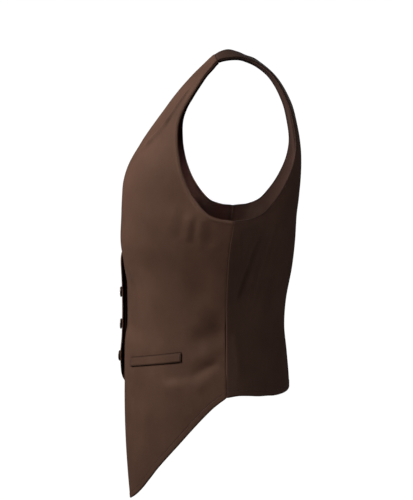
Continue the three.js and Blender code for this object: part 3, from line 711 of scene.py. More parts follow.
def make_back(context):
    """The back with its creases, seam dips, turned hem and hem stitches."""
    sizes = context.scene.waistcoat_sizes
    wall = sizes.back_wall / MM
    v, u = np.meshgrid(BACK_VS, BACK_US, indexing="ij")
    left, t, w = back_points(u, v, BACK_CREASES_LEFT)
    right = back_points(u, v, BACK_CREASES_RIGHT)[0] * MIRROR
    grid = joined_halves(left, right)
    side_a, side_b, hem, top = border_gaps(grid)
    every_v = joined_halves(v, v)
    side = np.where(every_v > 1, SEAM["none"], np.minimum(side_a, side_b))
    armhole = np.minimum(gap_to(grid, grid[BACK_VS >= 1, 0]), gap_to(grid, grid[BACK_VS >= 1, -1]))
    seam_top = joined_halves(u <= NECK_SHARE, u <= NECK_SHARE)
    top_seam = np.where(seam_top, top, SEAM["none"])
    relief = (-0.55 * bump(side, 1.4) + 0.35 * bump(armhole - 2.0, 1.4)
              - 0.4 * bump(top_seam, 1.4) + sizes.hem_step / MM * (1 - smooth((hem - 5.6) / 1.6)))
    side_way = side_facing(w)
    top_way = shoulder_facing(1 - np.minimum(u / NECK_SHARE, 1))
    side_way, top_way = (joined_halves(way, way * MIRROR) for way in (side_way, top_way))
    normals = sewn_facing(grid_normals(grid), side_way, side)
    normals = sewn_facing(normals, top_way, top_seam)
    neck = np.where(seam_top, SEAM["none"], top)
    marks = {"side_gap": side, "armhole_gap": armhole, "hem_gap": hem, "top_gap": top_seam, "edge_gap": neck}
    length = girth(back_form, t, w)
    far = length[:, -1:]
    uv = np.stack([joined_halves(length - far, far - length), joined_halves(w, w)], -1)
    outer = grid + normals * relief[..., None]
    piece = shell("back_cloth", outer, grid - normals * wall, back_material(context), uv, marks,
                  (1, SEAM["bulge"], SEAM["bulge"], SEAM["bulge"]))
    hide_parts("back")
    path, row = hem_path(outer, hem, sizes.hem_stitch / MM)
    facing = normals[row, np.arange(outer.shape[1])]
    points, quads, fans = stitch_run(path[4:-4], facing[4:-4], 2.0, 3.2, 0.24)
    thread = add_mesh("hem_stitches_back", points, quads, thread_material(context), triangles=fans)


# Linings


def kept_in(v):
    """How far a lining keeps in from the armhole edge: nothing below the underarm."""
    return LINING["side"] * smooth((v - 1) * LINING["ease"])


def lining_sheets(points, gaps, cloth_wall, wall):
    """Outer and inner points of a lining behind a cloth: its full room behind it, and close to it wherever an
    edge is sewn down, which is everywhere but along the side seam."""
    edge, hem, top, *armholes = gaps
    sewn = np.minimum.reduce([edge, hem, top, *armholes])
    room = mix(LINING["sewn_room"], LINING["room"], smooth(sewn / LINING["slack"]))
    normals = grid_normals(points)
    depth = (cloth_wall + room)[..., None]
    return points - normals * depth, points - normals * (depth + wall)


def make_linings(context):
    """Linings of both fronts and of the back, each the form of its own cloth at a depth behind it."""
    sizes = context.scene.waistcoat_sizes
    wall = sizes.lining_wall / MM
    satin = lining_material(context)
    us = joined((LINING["facing"], 60), (1, 0))
    vs = joined((LINING["hem"], 70), (1, 90), (2 - LINING["top"], 0))
    v, u = np.meshgrid(vs, us, indexing="ij")
    for side, creases in (("left", CREASES_LEFT), ("right", CREASES_RIGHT)):
        points, t, w = front_points(u * (1 - kept_in(v)), v, FRONT_FOLDS + creases)
        edge, seam, hem, top = border_gaps(points)
        armhole = gap_to(points, points[vs >= 1, -1])
        outer, inner = lining_sheets(points, (edge, hem, top, armhole), sizes.front_wall / MM, wall)
        uv = np.stack([girth(front_form, t, w), w], -1)
        marks = {"edge_gap": edge, "side_gap": np.where(v > 1, SEAM["none"], seam), "hem_gap": hem}
        edges = (1, 0.1, 0.5, 1)
        if side == "right":
            outer, inner, uv = reflected(outer), reflected(inner), uv[:, ::-1]
            marks = {name: values[:, ::-1] for name, values in marks.items()}
            edges = (1, 1, 0.5, 0.1)
        piece = shell(f"lining_front_{side}_cloth", outer, inner, satin, uv, marks, edges)
        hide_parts(f"lining_front_{side}")
    us = joined((0, 40), (NECK_SHARE, 44), (1, 0))
    vs = joined((LINING["hem"], 70), (1, 100), (2 - LINING["top"], 0))
    v, u = np.meshgrid(vs, us, indexing="ij")
    across = mix(kept_in(v), 1, u)
    up = v - LINING["neck"] * smooth((u / NECK_SHARE - 0.8) * 5) * smooth((v - 1.8) * 5)
    halves = []
    for creases, mirror in ((BACK_CREASES_LEFT, 1), (BACK_CREASES_RIGHT, MIRROR)):
        points, t, w = back_points(across, up, creases)
        halves.append(points * mirror)
    points = joined_halves(*halves)
    side_a, side_b, hem, top = border_gaps(points)
    armholes = [gap_to(points, points[vs >= 1, column]) for column in (0, -1)]
    outer, inner = lining_sheets(points, (top, hem, top, *armholes), sizes.back_wall / MM, wall)
    length = girth(back_form, t, w)
    far = length[:, -1:]
    uv = np.stack([joined_halves(length - far, far - length), joined_halves(w, w)], -1)
    side = np.where(joined_halves(v, v) > 1, SEAM["none"], np.minimum(side_a, side_b))
    marks = {"side_gap": side, "hem_gap": hem, "edge_gap": top}
    piece = shell("lining_back_cloth", outer, inner, satin, uv, marks, (1, 0.1, 0.5, 0.1))
    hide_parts("lining_back")


# Pocket welts


def make_welts(context):
    """The pocket welts: a strip of each front's own form, moved out and slightly cushioned, with a bar of close
    stitches across both ends."""
    sizes = context.scene.waistcoat_sizes
    wall = sizes.welt_wall / MM
    share, up = np.meshgrid(np.linspace(0.006, 0.994, 150), np.linspace(0.05, 0.95, 26))
    t = mix(WELT["front_t"], WELT["back_t"], share)
    w = mix(WELT["front_top"], WELT["back_top"], share) - WELT["tall"] * (1 - up)
    for side, creases in (("left", CREASES_LEFT), ("right", CREASES_RIGHT)):
        cloth = folded(front_form, FRONT_FOLDS + creases)
        facing = outward(cloth, t, w)
        base = cloth(t, w)
        pillow = 0.3 * (1 - (2 * up - 1) ** 4) * (1 - (2 * share - 1) ** 16)
        outer = base + facing * (WELT["stand"] + wall + pillow - 0.3)[..., None]
        inner = base + facing * (WELT["stand"] - 0.5)
        ends = np.minimum(share, 1 - share)
        bars = []
        for at in (0.022, 0.978):
            column = int(round(at * (share.shape[1] - 1)))
            bars.append(stitch_run(outer[2:-2, column], facing[2:-2, column], 1.1, 0.8, 0.24, 0.3))
        uv = np.stack([girth(front_form, t, w), w], -1)
        first, last, bottom, top = border_gaps(outer)
        marks = {"edge_gap": np.minimum.reduce([first, last, bottom, top]), "end_gap": ends * 80}
        if side == "right":
            outer, inner, uv = reflected(outer), reflected(inner), uv[:, ::-1]
            marks = {name: values[:, ::-1] for name, values in marks.items()}
        piece = shell(f"pocket_welt_{side}_cloth", outer, inner, welt_material(context), uv, marks, (1, 1, 1, 1))
        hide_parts(f"pocket_welt_{side}")
        points, quads, fans = merged(bars)
        if side == "right":
            points = points * np.array([-1, 1, 1])
            quads, fans = quads[:, ::-1], fans[:, ::-1]
        tack = add_mesh(f"welt_tacks_{side}", points, quads, thread_material(context), triangles=fans)


# Buttons and buttonholes


def button_frame(level, wall):
    """Where a button sits and which way it faces: the right front's depth at the middle line and its slopes
    sideways and upward."""
    step = 6.0
    x = np.array([0, -step, step, 0, 0])
    z = level + np.array([0, 0, 0, -step, step])
    y = right_depth(x, z, wall)
    facing = unit(np.array([(y[2] - y[1]) / (2 * step), -1, (y[4] - y[3]) / (2 * step)]))
    side = unit(np.cross(facing, [0, 0, 1.0]))
    rise = np.cross(side, facing)
    return np.array([0, y[0], level]), side, rise, facing


def button_surface(radius, holes):
    """A four-hole button in its own frame: a dished face inside a raised rim, round at its edge, with a pit
    for each hole, swept round the middle. Rows run from the face's middle over the edge to the back's."""
    thick, edge = BUTTON["thick"], 0.75
    face = np.linspace(0.02, radius - edge, 64)
    rim_from, rim_to = BUTTON["dish"], BUTTON["crown"] * radius
    height = thick - BUTTON["rim"] * (1 - smooth((face - rim_from) / (rim_to - rim_from)))
    angle = np.linspace(0, np.pi, 14)[1:]
    around = radius - edge + edge * np.sin(angle)
    fall = thick / 2 + (thick / 2) * np.cos(angle)
    under = np.linspace(radius - edge, 0.02, 8)[1:]
    rs = np.concatenate([face, around, under])
    zs = np.concatenate([height, fall, 0 * under])
    turn = 2 * np.pi * np.arange(128) / 128
    x, y = rs[:, None] * np.cos(turn), rs[:, None] * np.sin(turn)
    z = np.repeat(zs[:, None], 128, axis=1)
    on_face = (np.arange(len(rs)) < len(face))[:, None]
    for hx, hy in holes:
        away = np.hypot(x - hx, y - hy)
        z = z - on_face * 1.1 * (1 - smooth((away - 0.62) / 0.36))
    return np.stack([x, y, z], -1)


def disc_faces(rows, columns):
    """Quads between the rings of a swept shape, and a fan over the ring at each end."""
    number = np.arange(rows * columns).reshape(rows, columns)
    turned = np.roll(number, -1, axis=1)
    quads = np.stack([number[:-1], number[1:], turned[1:], turned[:-1]], -1).reshape(-1, 4)
    first, last = number[0], number[-1][::-1]
    fans = [np.stack([ring[0] + 0 * ring[1:-1], ring[1:-1], ring[2:]], -1) for ring in (first, last)]
    return quads, np.concatenate(fans)


def placed(points, seat, side, rise, facing):
    """Points from a button's own frame to the body's."""
    return seat + points[..., 0:1] * side + points[..., 1:2] * rise + points[..., 2:3] * facing


def button_threads(holes):
    """Thread in a button's own frame: two strands over each pair of holes, and a wound shank below."""
    strands = []
    way = np.linspace(0, 1, 12)
    top = BUTTON["thick"] - BUTTON["rim"]
    for low, high in ((0, 1), (2, 3)):
        for shift in (-0.26, 0.26):
            line = mix(np.array(holes[low]), np.array(holes[high]), way[:, None])
            height = top - 0.7 + 1.25 * np.sqrt(np.sin(np.pi * np.clip(way, 0.001, 0.999)))
            strands.append(np.column_stack([line[:, 0], line[:, 1] + shift, height]))
    turns = np.linspace(0, 1, 60)
    shank = np.column_stack([1.5 * np.cos(24 * turns), 1.5 * np.sin(24 * turns), mix(-1.1, 0.3, turns)])
    return [tube(np.stack(strands), 0.24, 8), tube(shank[None], 0.3, 6)]


def buttonhole(level, wall, context):
    """A worked buttonhole: close stitches over both lips of a slit, one stitch after another round a long
    loop, the loop's inner edge at the slit and each stitch a short bar across the lip."""
    inner, outer, reach, shift = 0.25, 1.75, 8.6, -9.0
    count = 124
    straight = 4 * reach
    total = straight + 2 * np.pi * outer
    s = np.arange(count) / count * total
    half_turn = np.pi * outer
    edge = [2 * reach, 2 * reach + half_turn, 4 * reach + half_turn]
    turn_right = (s - edge[0]) / outer - np.pi / 2
    turn_left = (s - edge[2]) / outer + np.pi / 2
    conditions = [s < edge[0], s < edge[1], s < edge[2], s >= edge[2]]
    middle_x = np.select(conditions, [s - reach, reach + 0 * s, reach - (s - edge[1]), -reach + 0 * s])
    way_x = np.select(conditions, [0 * s, np.cos(turn_right), 0 * s, np.cos(turn_left)])
    way_z = np.select(conditions, [-1 + 0 * s, np.sin(turn_right), 1 + 0 * s, np.sin(turn_left)])
    across = np.linspace(inner, outer, 6)
    x = shift + middle_x[:, None] + way_x[:, None] * across
    z = level + way_z[:, None] * across
    y = right_depth(x, z, wall)
    lift = 0.28 * np.sqrt(np.maximum(1 - (2 * (across - inner) / (outer - inner) - 1) ** 2, 0.02))
    path = np.stack([x, y - lift, z], -1)
    return tube(path, 0.27, 6)


def make_buttons(context):
    """Three buttons on the right front, their threads and the buttonholes that they sit in."""
    wall = context.scene.waistcoat_sizes.front_wall / MM
    low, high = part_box("button_middle")
    radius = (high.z - low.z) / 2 / MM
    spread = context.scene.waistcoat_sizes.hole_spread / MM / 2
    holes = [(-spread, spread), (spread, spread), (-spread, -spread), (spread, -spread)]
    surface = button_surface(radius, holes)
    quads, fans = disc_faces(*surface.shape[:2])
    for name, level in BUTTON_LEVELS.items():
        at, side, rise, facing = button_frame(level, wall)
        seat = at + facing * BUTTON["seat"]
        points = placed(surface, seat, side, rise, facing).reshape(-1, 3)
        button = add_mesh(f"button_{name}_horn", points, quads, horn_material(context), triangles=fans)
        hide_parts(f"button_{name}")
        points, thread_quads, thread_fans = merged(button_threads(holes))
        points = placed(points, seat, side, rise, facing)
        thread = add_mesh(f"button_{name}_thread", points, thread_quads, thread_material(context),
                          triangles=thread_fans)
        points, hole_quads, hole_fans = buttonhole(level, wall, context)
        worked = add_mesh(f"buttonhole_{name}", points, hole_quads, thread_material(context),
                          triangles=hole_fans)


# Materials


def node(tree, kind, **sockets):
    """A shader node with the values or links of its named inputs set."""
    made = tree.nodes.new(kind)
    for name, value in sockets.items():
        plug(tree, made.inputs[name.replace("_", " ")], value)
    return made


def plug(tree, socket, value):
    """Links a socket to another node's output, or sets its value."""
    if isinstance(value, bpy.types.NodeSocket):
        tree.links.new(value, socket)
    else:
        socket.default_value = value


def maths(tree, operation, *values):
    """The result of one arithmetic step."""
    made = tree.nodes.new("ShaderNodeMath")
    made.operation = operation
    for socket, value in zip(made.inputs, values):
        plug(tree, socket, value)
    return made.outputs[0]


def blended(tree, share, first, second):
    """Two colours mixed by a share."""
    made = tree.nodes.new("ShaderNodeMix")
    made.data_type = "RGBA"
    plug(tree, made.inputs["Factor"], share)
    plug(tree, made.inputs["A"], first)
    plug(tree, made.inputs["B"], second)
    return made.outputs["Result"]


def new_group(name, inputs, outputs):
    """An empty shader node group with named sockets, or None if it is there already."""
    if name in bpy.data.node_groups:
        return None
    group = bpy.data.node_groups.new(name, "ShaderNodeTree")
    for label, kind, value in inputs:
        socket = group.interface.new_socket(label, in_out="INPUT", socket_type=kind)
        if value is not None:
            socket.default_value = value
    for label, kind in outputs:
        group.interface.new_socket(label, in_out="OUTPUT", socket_type=kind)
    return group


def twill_group():
    """Slanting ribs over a fine cross weave: the sine of the sum of the two lengths over the pitch, with a
    smaller sine of their difference, twice as fine."""
    group = new_group("Twill weave", [("Vector", "NodeSocketVector", None), ("Pitch", "NodeSocketFloat", 0.0008)],
                      [("Height", "NodeSocketFloat")])
    if group is None:
        return bpy.data.node_groups["Twill weave"]
    inside = group.nodes.new("NodeGroupInput")
    out = group.nodes.new("NodeGroupOutput")
    axes = node(group, "ShaderNodeSeparateXYZ", Vector=inside.outputs["Vector"])
    turn = maths(group, "DIVIDE", 2 * math.pi, inside.outputs["Pitch"])
    total = maths(group, "ADD", axes.outputs["X"], axes.outputs["Y"])
    differ = maths(group, "SUBTRACT", axes.outputs["X"], axes.outputs["Y"])
    rib = maths(group, "SINE", maths(group, "MULTIPLY", total, turn))
    cross = maths(group, "SINE", maths(group, "MULTIPLY", differ, maths(group, "MULTIPLY", turn, 2.0)))
    both = maths(group, "MULTIPLY_ADD", cross, 0.35, rib)
    group.links.new(maths(group, "MULTIPLY_ADD", both, 0.37, 0.5), out.inputs["Height"])
    return group


def nap_group():
    """Raised fibre and slow unevenness of colour: fine noise for the nap, coarse noise for the tone."""
    group = new_group("Cloth nap", [("Vector", "NodeSocketVector", None), ("Fine", "NodeSocketFloat", 900.0),
                                    ("Coarse", "NodeSocketFloat", 18.0)],
                      [("Nap", "NodeSocketFloat"), ("Tone", "NodeSocketFloat")])
    if group is None:
        return bpy.data.node_groups["Cloth nap"]
    inside = group.nodes.new("NodeGroupInput")
    out = group.nodes.new("NodeGroupOutput")
    fine = node(group, "ShaderNodeTexNoise", Vector=inside.outputs["Vector"], Scale=inside.outputs["Fine"],
                Detail=3.0, Roughness=0.6)
    coarse = node(group, "ShaderNodeTexNoise", Vector=inside.outputs["Vector"], Scale=inside.outputs["Coarse"],
                  Detail=4.0, Roughness=0.55)
    group.links.new(fine.outputs["Fac"], out.inputs["Nap"])
    group.links.new(coarse.outputs["Fac"], out.inputs["Tone"])
    return group


def line_group():
    """A soft line at an even distance from a border: 1 on the line, falling to 0 over its half width."""
    group = new_group("Soft line mask", [("Distance", "NodeSocketFloat", 0.0), ("Place", "NodeSocketFloat", 0.006),
                                    ("Half width", "NodeSocketFloat", 0.0008)],
                      [("Mask", "NodeSocketFloat")])
    if group is None:
        return bpy.data.node_groups["Soft line mask"]
    inside = group.nodes.new("NodeGroupInput")
    out = group.nodes.new("NodeGroupOutput")
    away = maths(group, "ABSOLUTE", maths(group, "SUBTRACT", inside.outputs["Distance"], inside.outputs["Place"]))
    ease = group.nodes.new("ShaderNodeMapRange")
    ease.interpolation_type = "SMOOTHSTEP"
    group.links.new(away, ease.inputs["Value"])
    group.links.new(inside.outputs["Half width"], ease.inputs["From Max"])
    ease.inputs["To Min"].default_value = 1.0
    ease.inputs["To Max"].default_value = 0.0
    group.links.new(ease.outputs["Result"], out.inputs["Mask"])
    return group


def use_group(tree, group, **sockets):
    """A node that holds a group, with its inputs set."""
    made = tree.nodes.new("ShaderNodeGroup")
    made.node_tree = group
    for name, value in sockets.items():
        plug(tree, made.inputs[name.replace("_", " ")], value)
    return made


def mark(tree, name):
    """A value stored at the mesh's points."""
    made = tree.nodes.new("ShaderNodeAttribute")
    made.attribute_name = name
    return made.outputs["Fac"]


def begun_material(name):
    """A new material's tree and its main shader, or None where it is there already."""
    material = bpy.data.materials.new(name)
    material.use_nodes = True
    tree = material.node_tree
    shader = tree.nodes["Principled BSDF"]
    return material, tree, shader


def woven(name, dark, light, pitch, rough, rough_swing, rib, nap_height, seam_and_painted_light_lines):
    """Woven cloth: two tones mixed by slow unevenness and nap, ribs of the weave, darker sewn lines at the
    given distances from the borders, and a bump of ribs, nap and lines.
    seams = rows of (mark, place, half width, strength, depth, tone as a multiple of the dark colour)."""
    material, tree, shader = begun_material(name)
    place = tree.nodes.new("ShaderNodeTexCoord")
    weave = use_group(tree, twill_group(), Vector=place.outputs["UV"], Pitch=pitch)
    nap = use_group(tree, nap_group(), Vector=place.outputs["Object"], Fine=1100.0, Coarse=16.0)
    tone = maths(tree, "MULTIPLY_ADD", nap.outputs["Nap"], 0.35, maths(tree, "MULTIPLY", nap.outputs["Tone"], 0.65))
    eased = tree.nodes.new("ShaderNodeMapRange")
    plug(tree, eased.inputs["Value"], tone)
    eased.inputs["From Min"].default_value = 0.34
    eased.inputs["From Max"].default_value = 0.66
    ribbed = maths(tree, "MULTIPLY_ADD", weave.outputs["Height"], 0.16, eased.outputs["Result"])
    colour = blended(tree, maths(tree, "MINIMUM", ribbed, 1.0), (*dark, 1), (*light, 1))
    height = maths(tree, "MULTIPLY_ADD", weave.outputs["Height"], rib, maths(tree, "MULTIPLY",
                   nap.outputs["Nap"], nap_height))
    # Each row darkens a line by its tone, or lightens it where the tone is above 1, and presses it into the bump by
    # its depth; on the wool, welts and back this is painted shade and painted highlight.
    for border, at, half, strength, depth, tone in seam_and_painted_light_lines:
        line = use_group(tree, line_group(), Distance=mark(tree, border), Place=at, Half_width=half)
        shade = (*[tone * c for c in dark], 1)
        colour = blended(tree, maths(tree, "MULTIPLY", line.outputs["Mask"], strength), colour, shade)
        height = maths(tree, "MULTIPLY_ADD", line.outputs["Mask"], -depth, height)
    bumped = node(tree, "ShaderNodeBump", Height=height, Distance=0.001)
    bumped.inputs["Strength"].default_value = 1.0
    plug(tree, shader.inputs["Base Color"], colour)
    plug(tree, shader.inputs["Roughness"], maths(tree, "MULTIPLY_ADD", nap.outputs["Tone"], rough_swing, rough))
    plug(tree, shader.inputs["Normal"], bumped.outputs["Normal"])
    return material, shader


def sheen(shader, weight, roughness, tint):
    """The soft light that fibre ends give back at a slant."""
    shader.inputs["Sheen Weight"].default_value = weight
    shader.inputs["Sheen Roughness"].default_value = roughness
    shader.inputs["Sheen Tint"].default_value = (*tint, 1)


def suiting_material(context):
    """The fronts' wool: warm brown with a fine twill, a short nap and a sewn line inside the hem."""
    if "Suiting wool" in bpy.data.materials:
        return bpy.data.materials["Suiting wool"]
    look = context.scene.waistcoat_looks
    seam_and_painted_light_lines = [
        # Painted shade along the stitched line inside the hem, at the hem's edge and in the side and shoulder seams
        ("hem_gap", 0.0066, 0.0009, 0.45, 0.35, 0.35),
        ("hem_gap", 0.0004, 0.0010, 0.5, 0.0, 0.4),
        ("side_gap", 0.0002, 0.0006, 0.5, 0.2, 0.35),
        ("top_gap", 0.0002, 0.0008, 0.6, 0.2, 0.35),
        # Painted shadow round the pocket welt's outline
        ("pocket_gap", 0.0004, 0.0012, 0.85, 0.3, 0.25),
    ]
    material, shader = woven("Suiting wool", look.wool_dark, look.wool_light, 0.0009, 0.66, 0.12, 0.10, 0.08, seam_and_painted_light_lines)
    shader.inputs["Specular IOR Level"].default_value = 0.06
    sheen(shader, 0.05, 0.35, (1.0, 0.62, 0.5))
    return material


def welt_material(context):
    """The welts' wool: the fronts' cloth, pressed, darker in its folded borders."""
    if "Pressed wool" in bpy.data.materials:
        return bpy.data.materials["Pressed wool"]
    look = context.scene.waistcoat_looks
    # Painted shade along the welt's borders
    seam_and_painted_light_lines = [("edge_gap", 0.0, 0.0012, 0.5, 0.2, 0.35)]
    material, shader = woven("Pressed wool", look.wool_dark, look.wool_light, 0.0009, 0.64, 0.12, 0.10, 0.08, seam_and_painted_light_lines)
    shader.inputs["Specular IOR Level"].default_value = 0.06
    sheen(shader, 0.05, 0.35, (1.0, 0.62, 0.5))
    return material


def back_material(context):
    """The back's darker, closer cloth with a soft satin gleam."""
    if "Back satin" in bpy.data.materials:
        return bpy.data.materials["Back satin"]
    look = context.scene.waistcoat_looks
    seam_and_painted_light_lines = [
        # Painted shade along the stitched line inside the hem and at the hem's edge
        ("hem_gap", 0.0066, 0.0009, 0.4, 0.3, 0.35),
        ("hem_gap", 0.0004, 0.0010, 0.5, 0.0, 0.4),
        # Painted highlight along the side seam: a tone above 1 makes the line lighter than the cloth
        ("side_gap", 0.0007, 0.0007, 0.7, 0.1, 3.4),
        # Painted shade in the shoulder seam and along the neck and armhole edges
        ("top_gap", 0.0002, 0.0008, 0.5, 0.2, 0.35),
        ("edge_gap", 0.0003, 0.0018, 0.8, 0.1, 0.2),
        ("armhole_gap", 0.0, 0.0014, 0.7, 0.1, 0.25),
    ]
    material, shader = woven("Back satin", look.back_dark, look.back_light, 0.0005, 0.5, 0.12, 0.05, 0.05, seam_and_painted_light_lines)
    shader.inputs["Specular IOR Level"].default_value = 0.04
    shader.inputs["Specular Tint"].default_value = (1.0, 0.72, 0.58, 1)
    return material


def lining_material(context):
    """The lining's dark, smooth satin, darker in the side seam's fold."""
    if "Lining satin" in bpy.data.materials:
        return bpy.data.materials["Lining satin"]
    look = context.scene.waistcoat_looks
    seam_and_painted_light_lines = [("side_gap", 0.001, 0.006, 0.7, 0.2, 0.35), ("edge_gap", 0.0, 0.002, 0.3, 0.2, 0.35)]
    material, shader = woven("Lining satin", look.lining_dark, look.lining_light, 0.0004, 0.36, 0.1, 0.03, 0.03,
                             seam_and_painted_light_lines)
    shader.inputs["Specular IOR Level"].default_value = 0.04
    shader.inputs["Specular Tint"].default_value = (1.0, 0.72, 0.58, 1)
    return material


def horn_material(context):
    """Dark horn: two browns in slow streaks with a low polish and fine scratches in the bump."""
    if "Dark horn" in bpy.data.materials:
        return bpy.data.materials["Dark horn"]
    look = context.scene.waistcoat_looks
    material, tree, shader = begun_material("Dark horn")
    place = tree.nodes.new("ShaderNodeTexCoord")
    stretch = node(tree, "ShaderNodeMapping", Vector=place.outputs["Object"], Scale=(90.0, 90.0, 420.0))
    streaks = node(tree, "ShaderNodeTexNoise", Vector=stretch.outputs["Vector"], Scale=1.0, Detail=5.0,
                   Roughness=0.6, Distortion=0.8)
    grain = use_group(tree, nap_group(), Vector=place.outputs["Object"], Fine=2600.0, Coarse=160.0)
    plug(tree, shader.inputs["Base Color"],
         blended(tree, streaks.outputs["Fac"], (*look.horn_dark, 1), (*look.horn_light, 1)))
    plug(tree, shader.inputs["Roughness"], maths(tree, "MULTIPLY_ADD", grain.outputs["Tone"], 0.2, 0.24))
    bumped = node(tree, "ShaderNodeBump", Height=grain.outputs["Nap"], Distance=0.00003)
    plug(tree, shader.inputs["Normal"], bumped.outputs["Normal"])
    return material


def thread_material(context):
    """Twisted sewing thread: brown with a slow change of tone and a fine ply."""
    if "Sewing thread" in bpy.data.materials:
        return bpy.data.materials["Sewing thread"]
    look = context.scene.waistcoat_looks
    material, tree, shader = begun_material("Sewing thread")
    place = tree.nodes.new("ShaderNodeTexCoord")
    ply = use_group(tree, nap_group(), Vector=place.outputs["Object"], Fine=3000.0, Coarse=300.0)
    plug(tree, shader.inputs["Base Color"],
         blended(tree, ply.outputs["Tone"], (*look.thread_dark, 1), (*look.thread_light, 1)))
    plug(tree, shader.inputs["Roughness"], maths(tree, "MULTIPLY_ADD", ply.outputs["Nap"], 0.3, 0.45))
    bumped = node(tree, "ShaderNodeBump", Height=ply.outputs["Nap"], Distance=0.0001)
    plug(tree, shader.inputs["Normal"], bumped.outputs["Normal"])
    return material


# Stage


# The photograph's camera: its long side in pixels, its focal length in them, the place of its eye and its turns
PHOTO_LONG_SIDE = 500
FOCAL_PIXELS = 1831
EYE = (2.6, 0.0, -0.04)
PITCH = math.radians(-5.211)
YAW = math.radians(0.576)


def make_floor(stage):
    """A pale floor that curves up into a wall all round: a profile of flat disc, quarter circle and upright,
    swept round the middle."""
    radius, cove, tall = stage.room_radius, 1.6, 5.0
    angle = np.linspace(0, np.pi / 2, 24)
    r = np.concatenate([np.linspace(0.01, radius - cove, 12), radius - cove + cove * np.sin(angle)[1:],
                        [radius] * 4])
    z = np.concatenate([np.zeros(12), cove - cove * np.cos(angle)[1:], np.linspace(cove + 0.2, tall, 4)])
    turn = 2 * np.pi * np.arange(96) / 96
    points = np.stack([r[:, None] * np.cos(turn), r[:, None] * np.sin(turn),
                       np.repeat(z[:, None], 96, 1) - stage.floor_drop], -1).reshape(-1, 3)
    number = np.arange(len(points)).reshape(len(r), 96)
    turned = np.roll(number, -1, axis=1)
    quads = np.stack([number[:-1], number[1:], turned[1:], turned[:-1]], -1).reshape(-1, 4)
    mesh = bpy.data.meshes.new("floor")
    mesh.from_pydata(points.tolist(), [], [*quads.tolist(), number[0].tolist()])
    mesh.polygons.foreach_set("use_smooth", np.ones(len(mesh.polygons), bool))
    material, tree, shader = begun_material("Pale floor")
    place = tree.nodes.new("ShaderNodeTexCoord")
    speckle = node(tree, "ShaderNodeTexNoise", Vector=place.outputs["Object"], Scale=3.0, Detail=2.0)
    plug(tree, shader.inputs["Base Color"],
         blended(tree, speckle.outputs["Fac"], (0.16, 0.16, 0.16, 1), (0.18, 0.18, 0.18, 1)))
    shader.inputs["Roughness"].default_value = 0.9
    shader.inputs["Specular IOR Level"].default_value = 0.1
    shader.inputs["Emission Color"].default_value = (1, 1, 1, 1)
    seen = tree.nodes.new("ShaderNodeLightPath").outputs["Is Camera Ray"]
    plug(tree, shader.inputs["Emission Strength"], maths(tree, "MULTIPLY", seen, stage.floor_glow))
    mesh.materials.append(material)
    floor = bpy.data.objects.new("floor", mesh)
    bpy.context.scene.collection.objects.link(floor)


def add_light(name, place, aim, size, power, colour, spread=math.pi):
    """A soft square lamp at a place, turned so that it looks at a point; spread is the angle of its beam."""
    lamp = bpy.data.lights.new(name, "AREA")
    lamp.size = size
    lamp.energy = power
    lamp.color = colour
    lamp.spread = spread
    holder = bpy.data.objects.new(name, lamp)
    forward = unit(np.array(aim, float) - np.array(place, float))
    right = unit(np.cross(forward, [0, 0, 1.0]))
    turn = np.column_stack([right, np.cross(right, forward), -forward])
    matrix = np.eye(4)
    matrix[:3, :3], matrix[:3, 3] = turn, place
    holder.matrix_world = Matrix(matrix.tolist())
    holder.visible_camera = False
    bpy.context.scene.collection.objects.link(holder)
    return holder


def make_camera():
    """The camera at the photograph's angle: a turn about the upright, then a dip below the level."""
    lens = bpy.data.cameras.new("camera")
    lens.sensor_width = 36
    lens.lens = 36 * FOCAL_PIXELS / PHOTO_LONG_SIDE
    lens.clip_end = 60
    forward = np.array([-math.cos(PITCH) * math.cos(YAW), -math.cos(PITCH) * math.sin(YAW), math.sin(PITCH)])
    right = np.array([-math.sin(YAW), math.cos(YAW), 0])
    matrix = np.eye(4)
    matrix[:3, :3] = np.column_stack([right, np.cross(right, forward), -forward])
    matrix[:3, 3] = EYE
    camera = bpy.data.objects.new("camera", lens)
    camera.matrix_world = Matrix(matrix.tolist())
    bpy.context.scene.collection.objects.link(camera)
    bpy.context.scene.camera = camera


def make_stage(context):
    """Floor, lamps, surrounding light and camera."""
    stage = context.scene.waistcoat_stage
    make_floor(stage)
    middle = (0, 0, -0.28)
    add_light("key", (0.44, -1.1, 0.5), (0.08, -0.08, -0.2), 0.7, stage.key_power, (1.0, 0.97, 0.94))
    add_light("fill", (1.45, 1.55, -0.85), middle, 1.0, stage.fill_power, (1.0, 0.97, 0.95))
    add_light("rim", (-2.2, 1.0, 0.9), middle, 1.4, stage.rim_power, (1.0, 0.97, 0.95))
    add_light("armhole", (1.15, 0.12, 0.0), (-0.15, -0.025, -0.21), 0.1, stage.armhole_power, (1.0, 0.97, 0.95),
              math.radians(4))
    context.scene.view_settings.view_transform = "Standard"
    world = bpy.data.worlds.new("Studio")
    world.use_nodes = True
    world.node_tree.nodes["Background"].inputs["Color"].default_value = (1, 1, 1, 1)
    world.node_tree.nodes["Background"].inputs["Strength"].default_value = stage.surround
    context.scene.world = world
    make_camera()


# Sizes, colours and light that a user can change


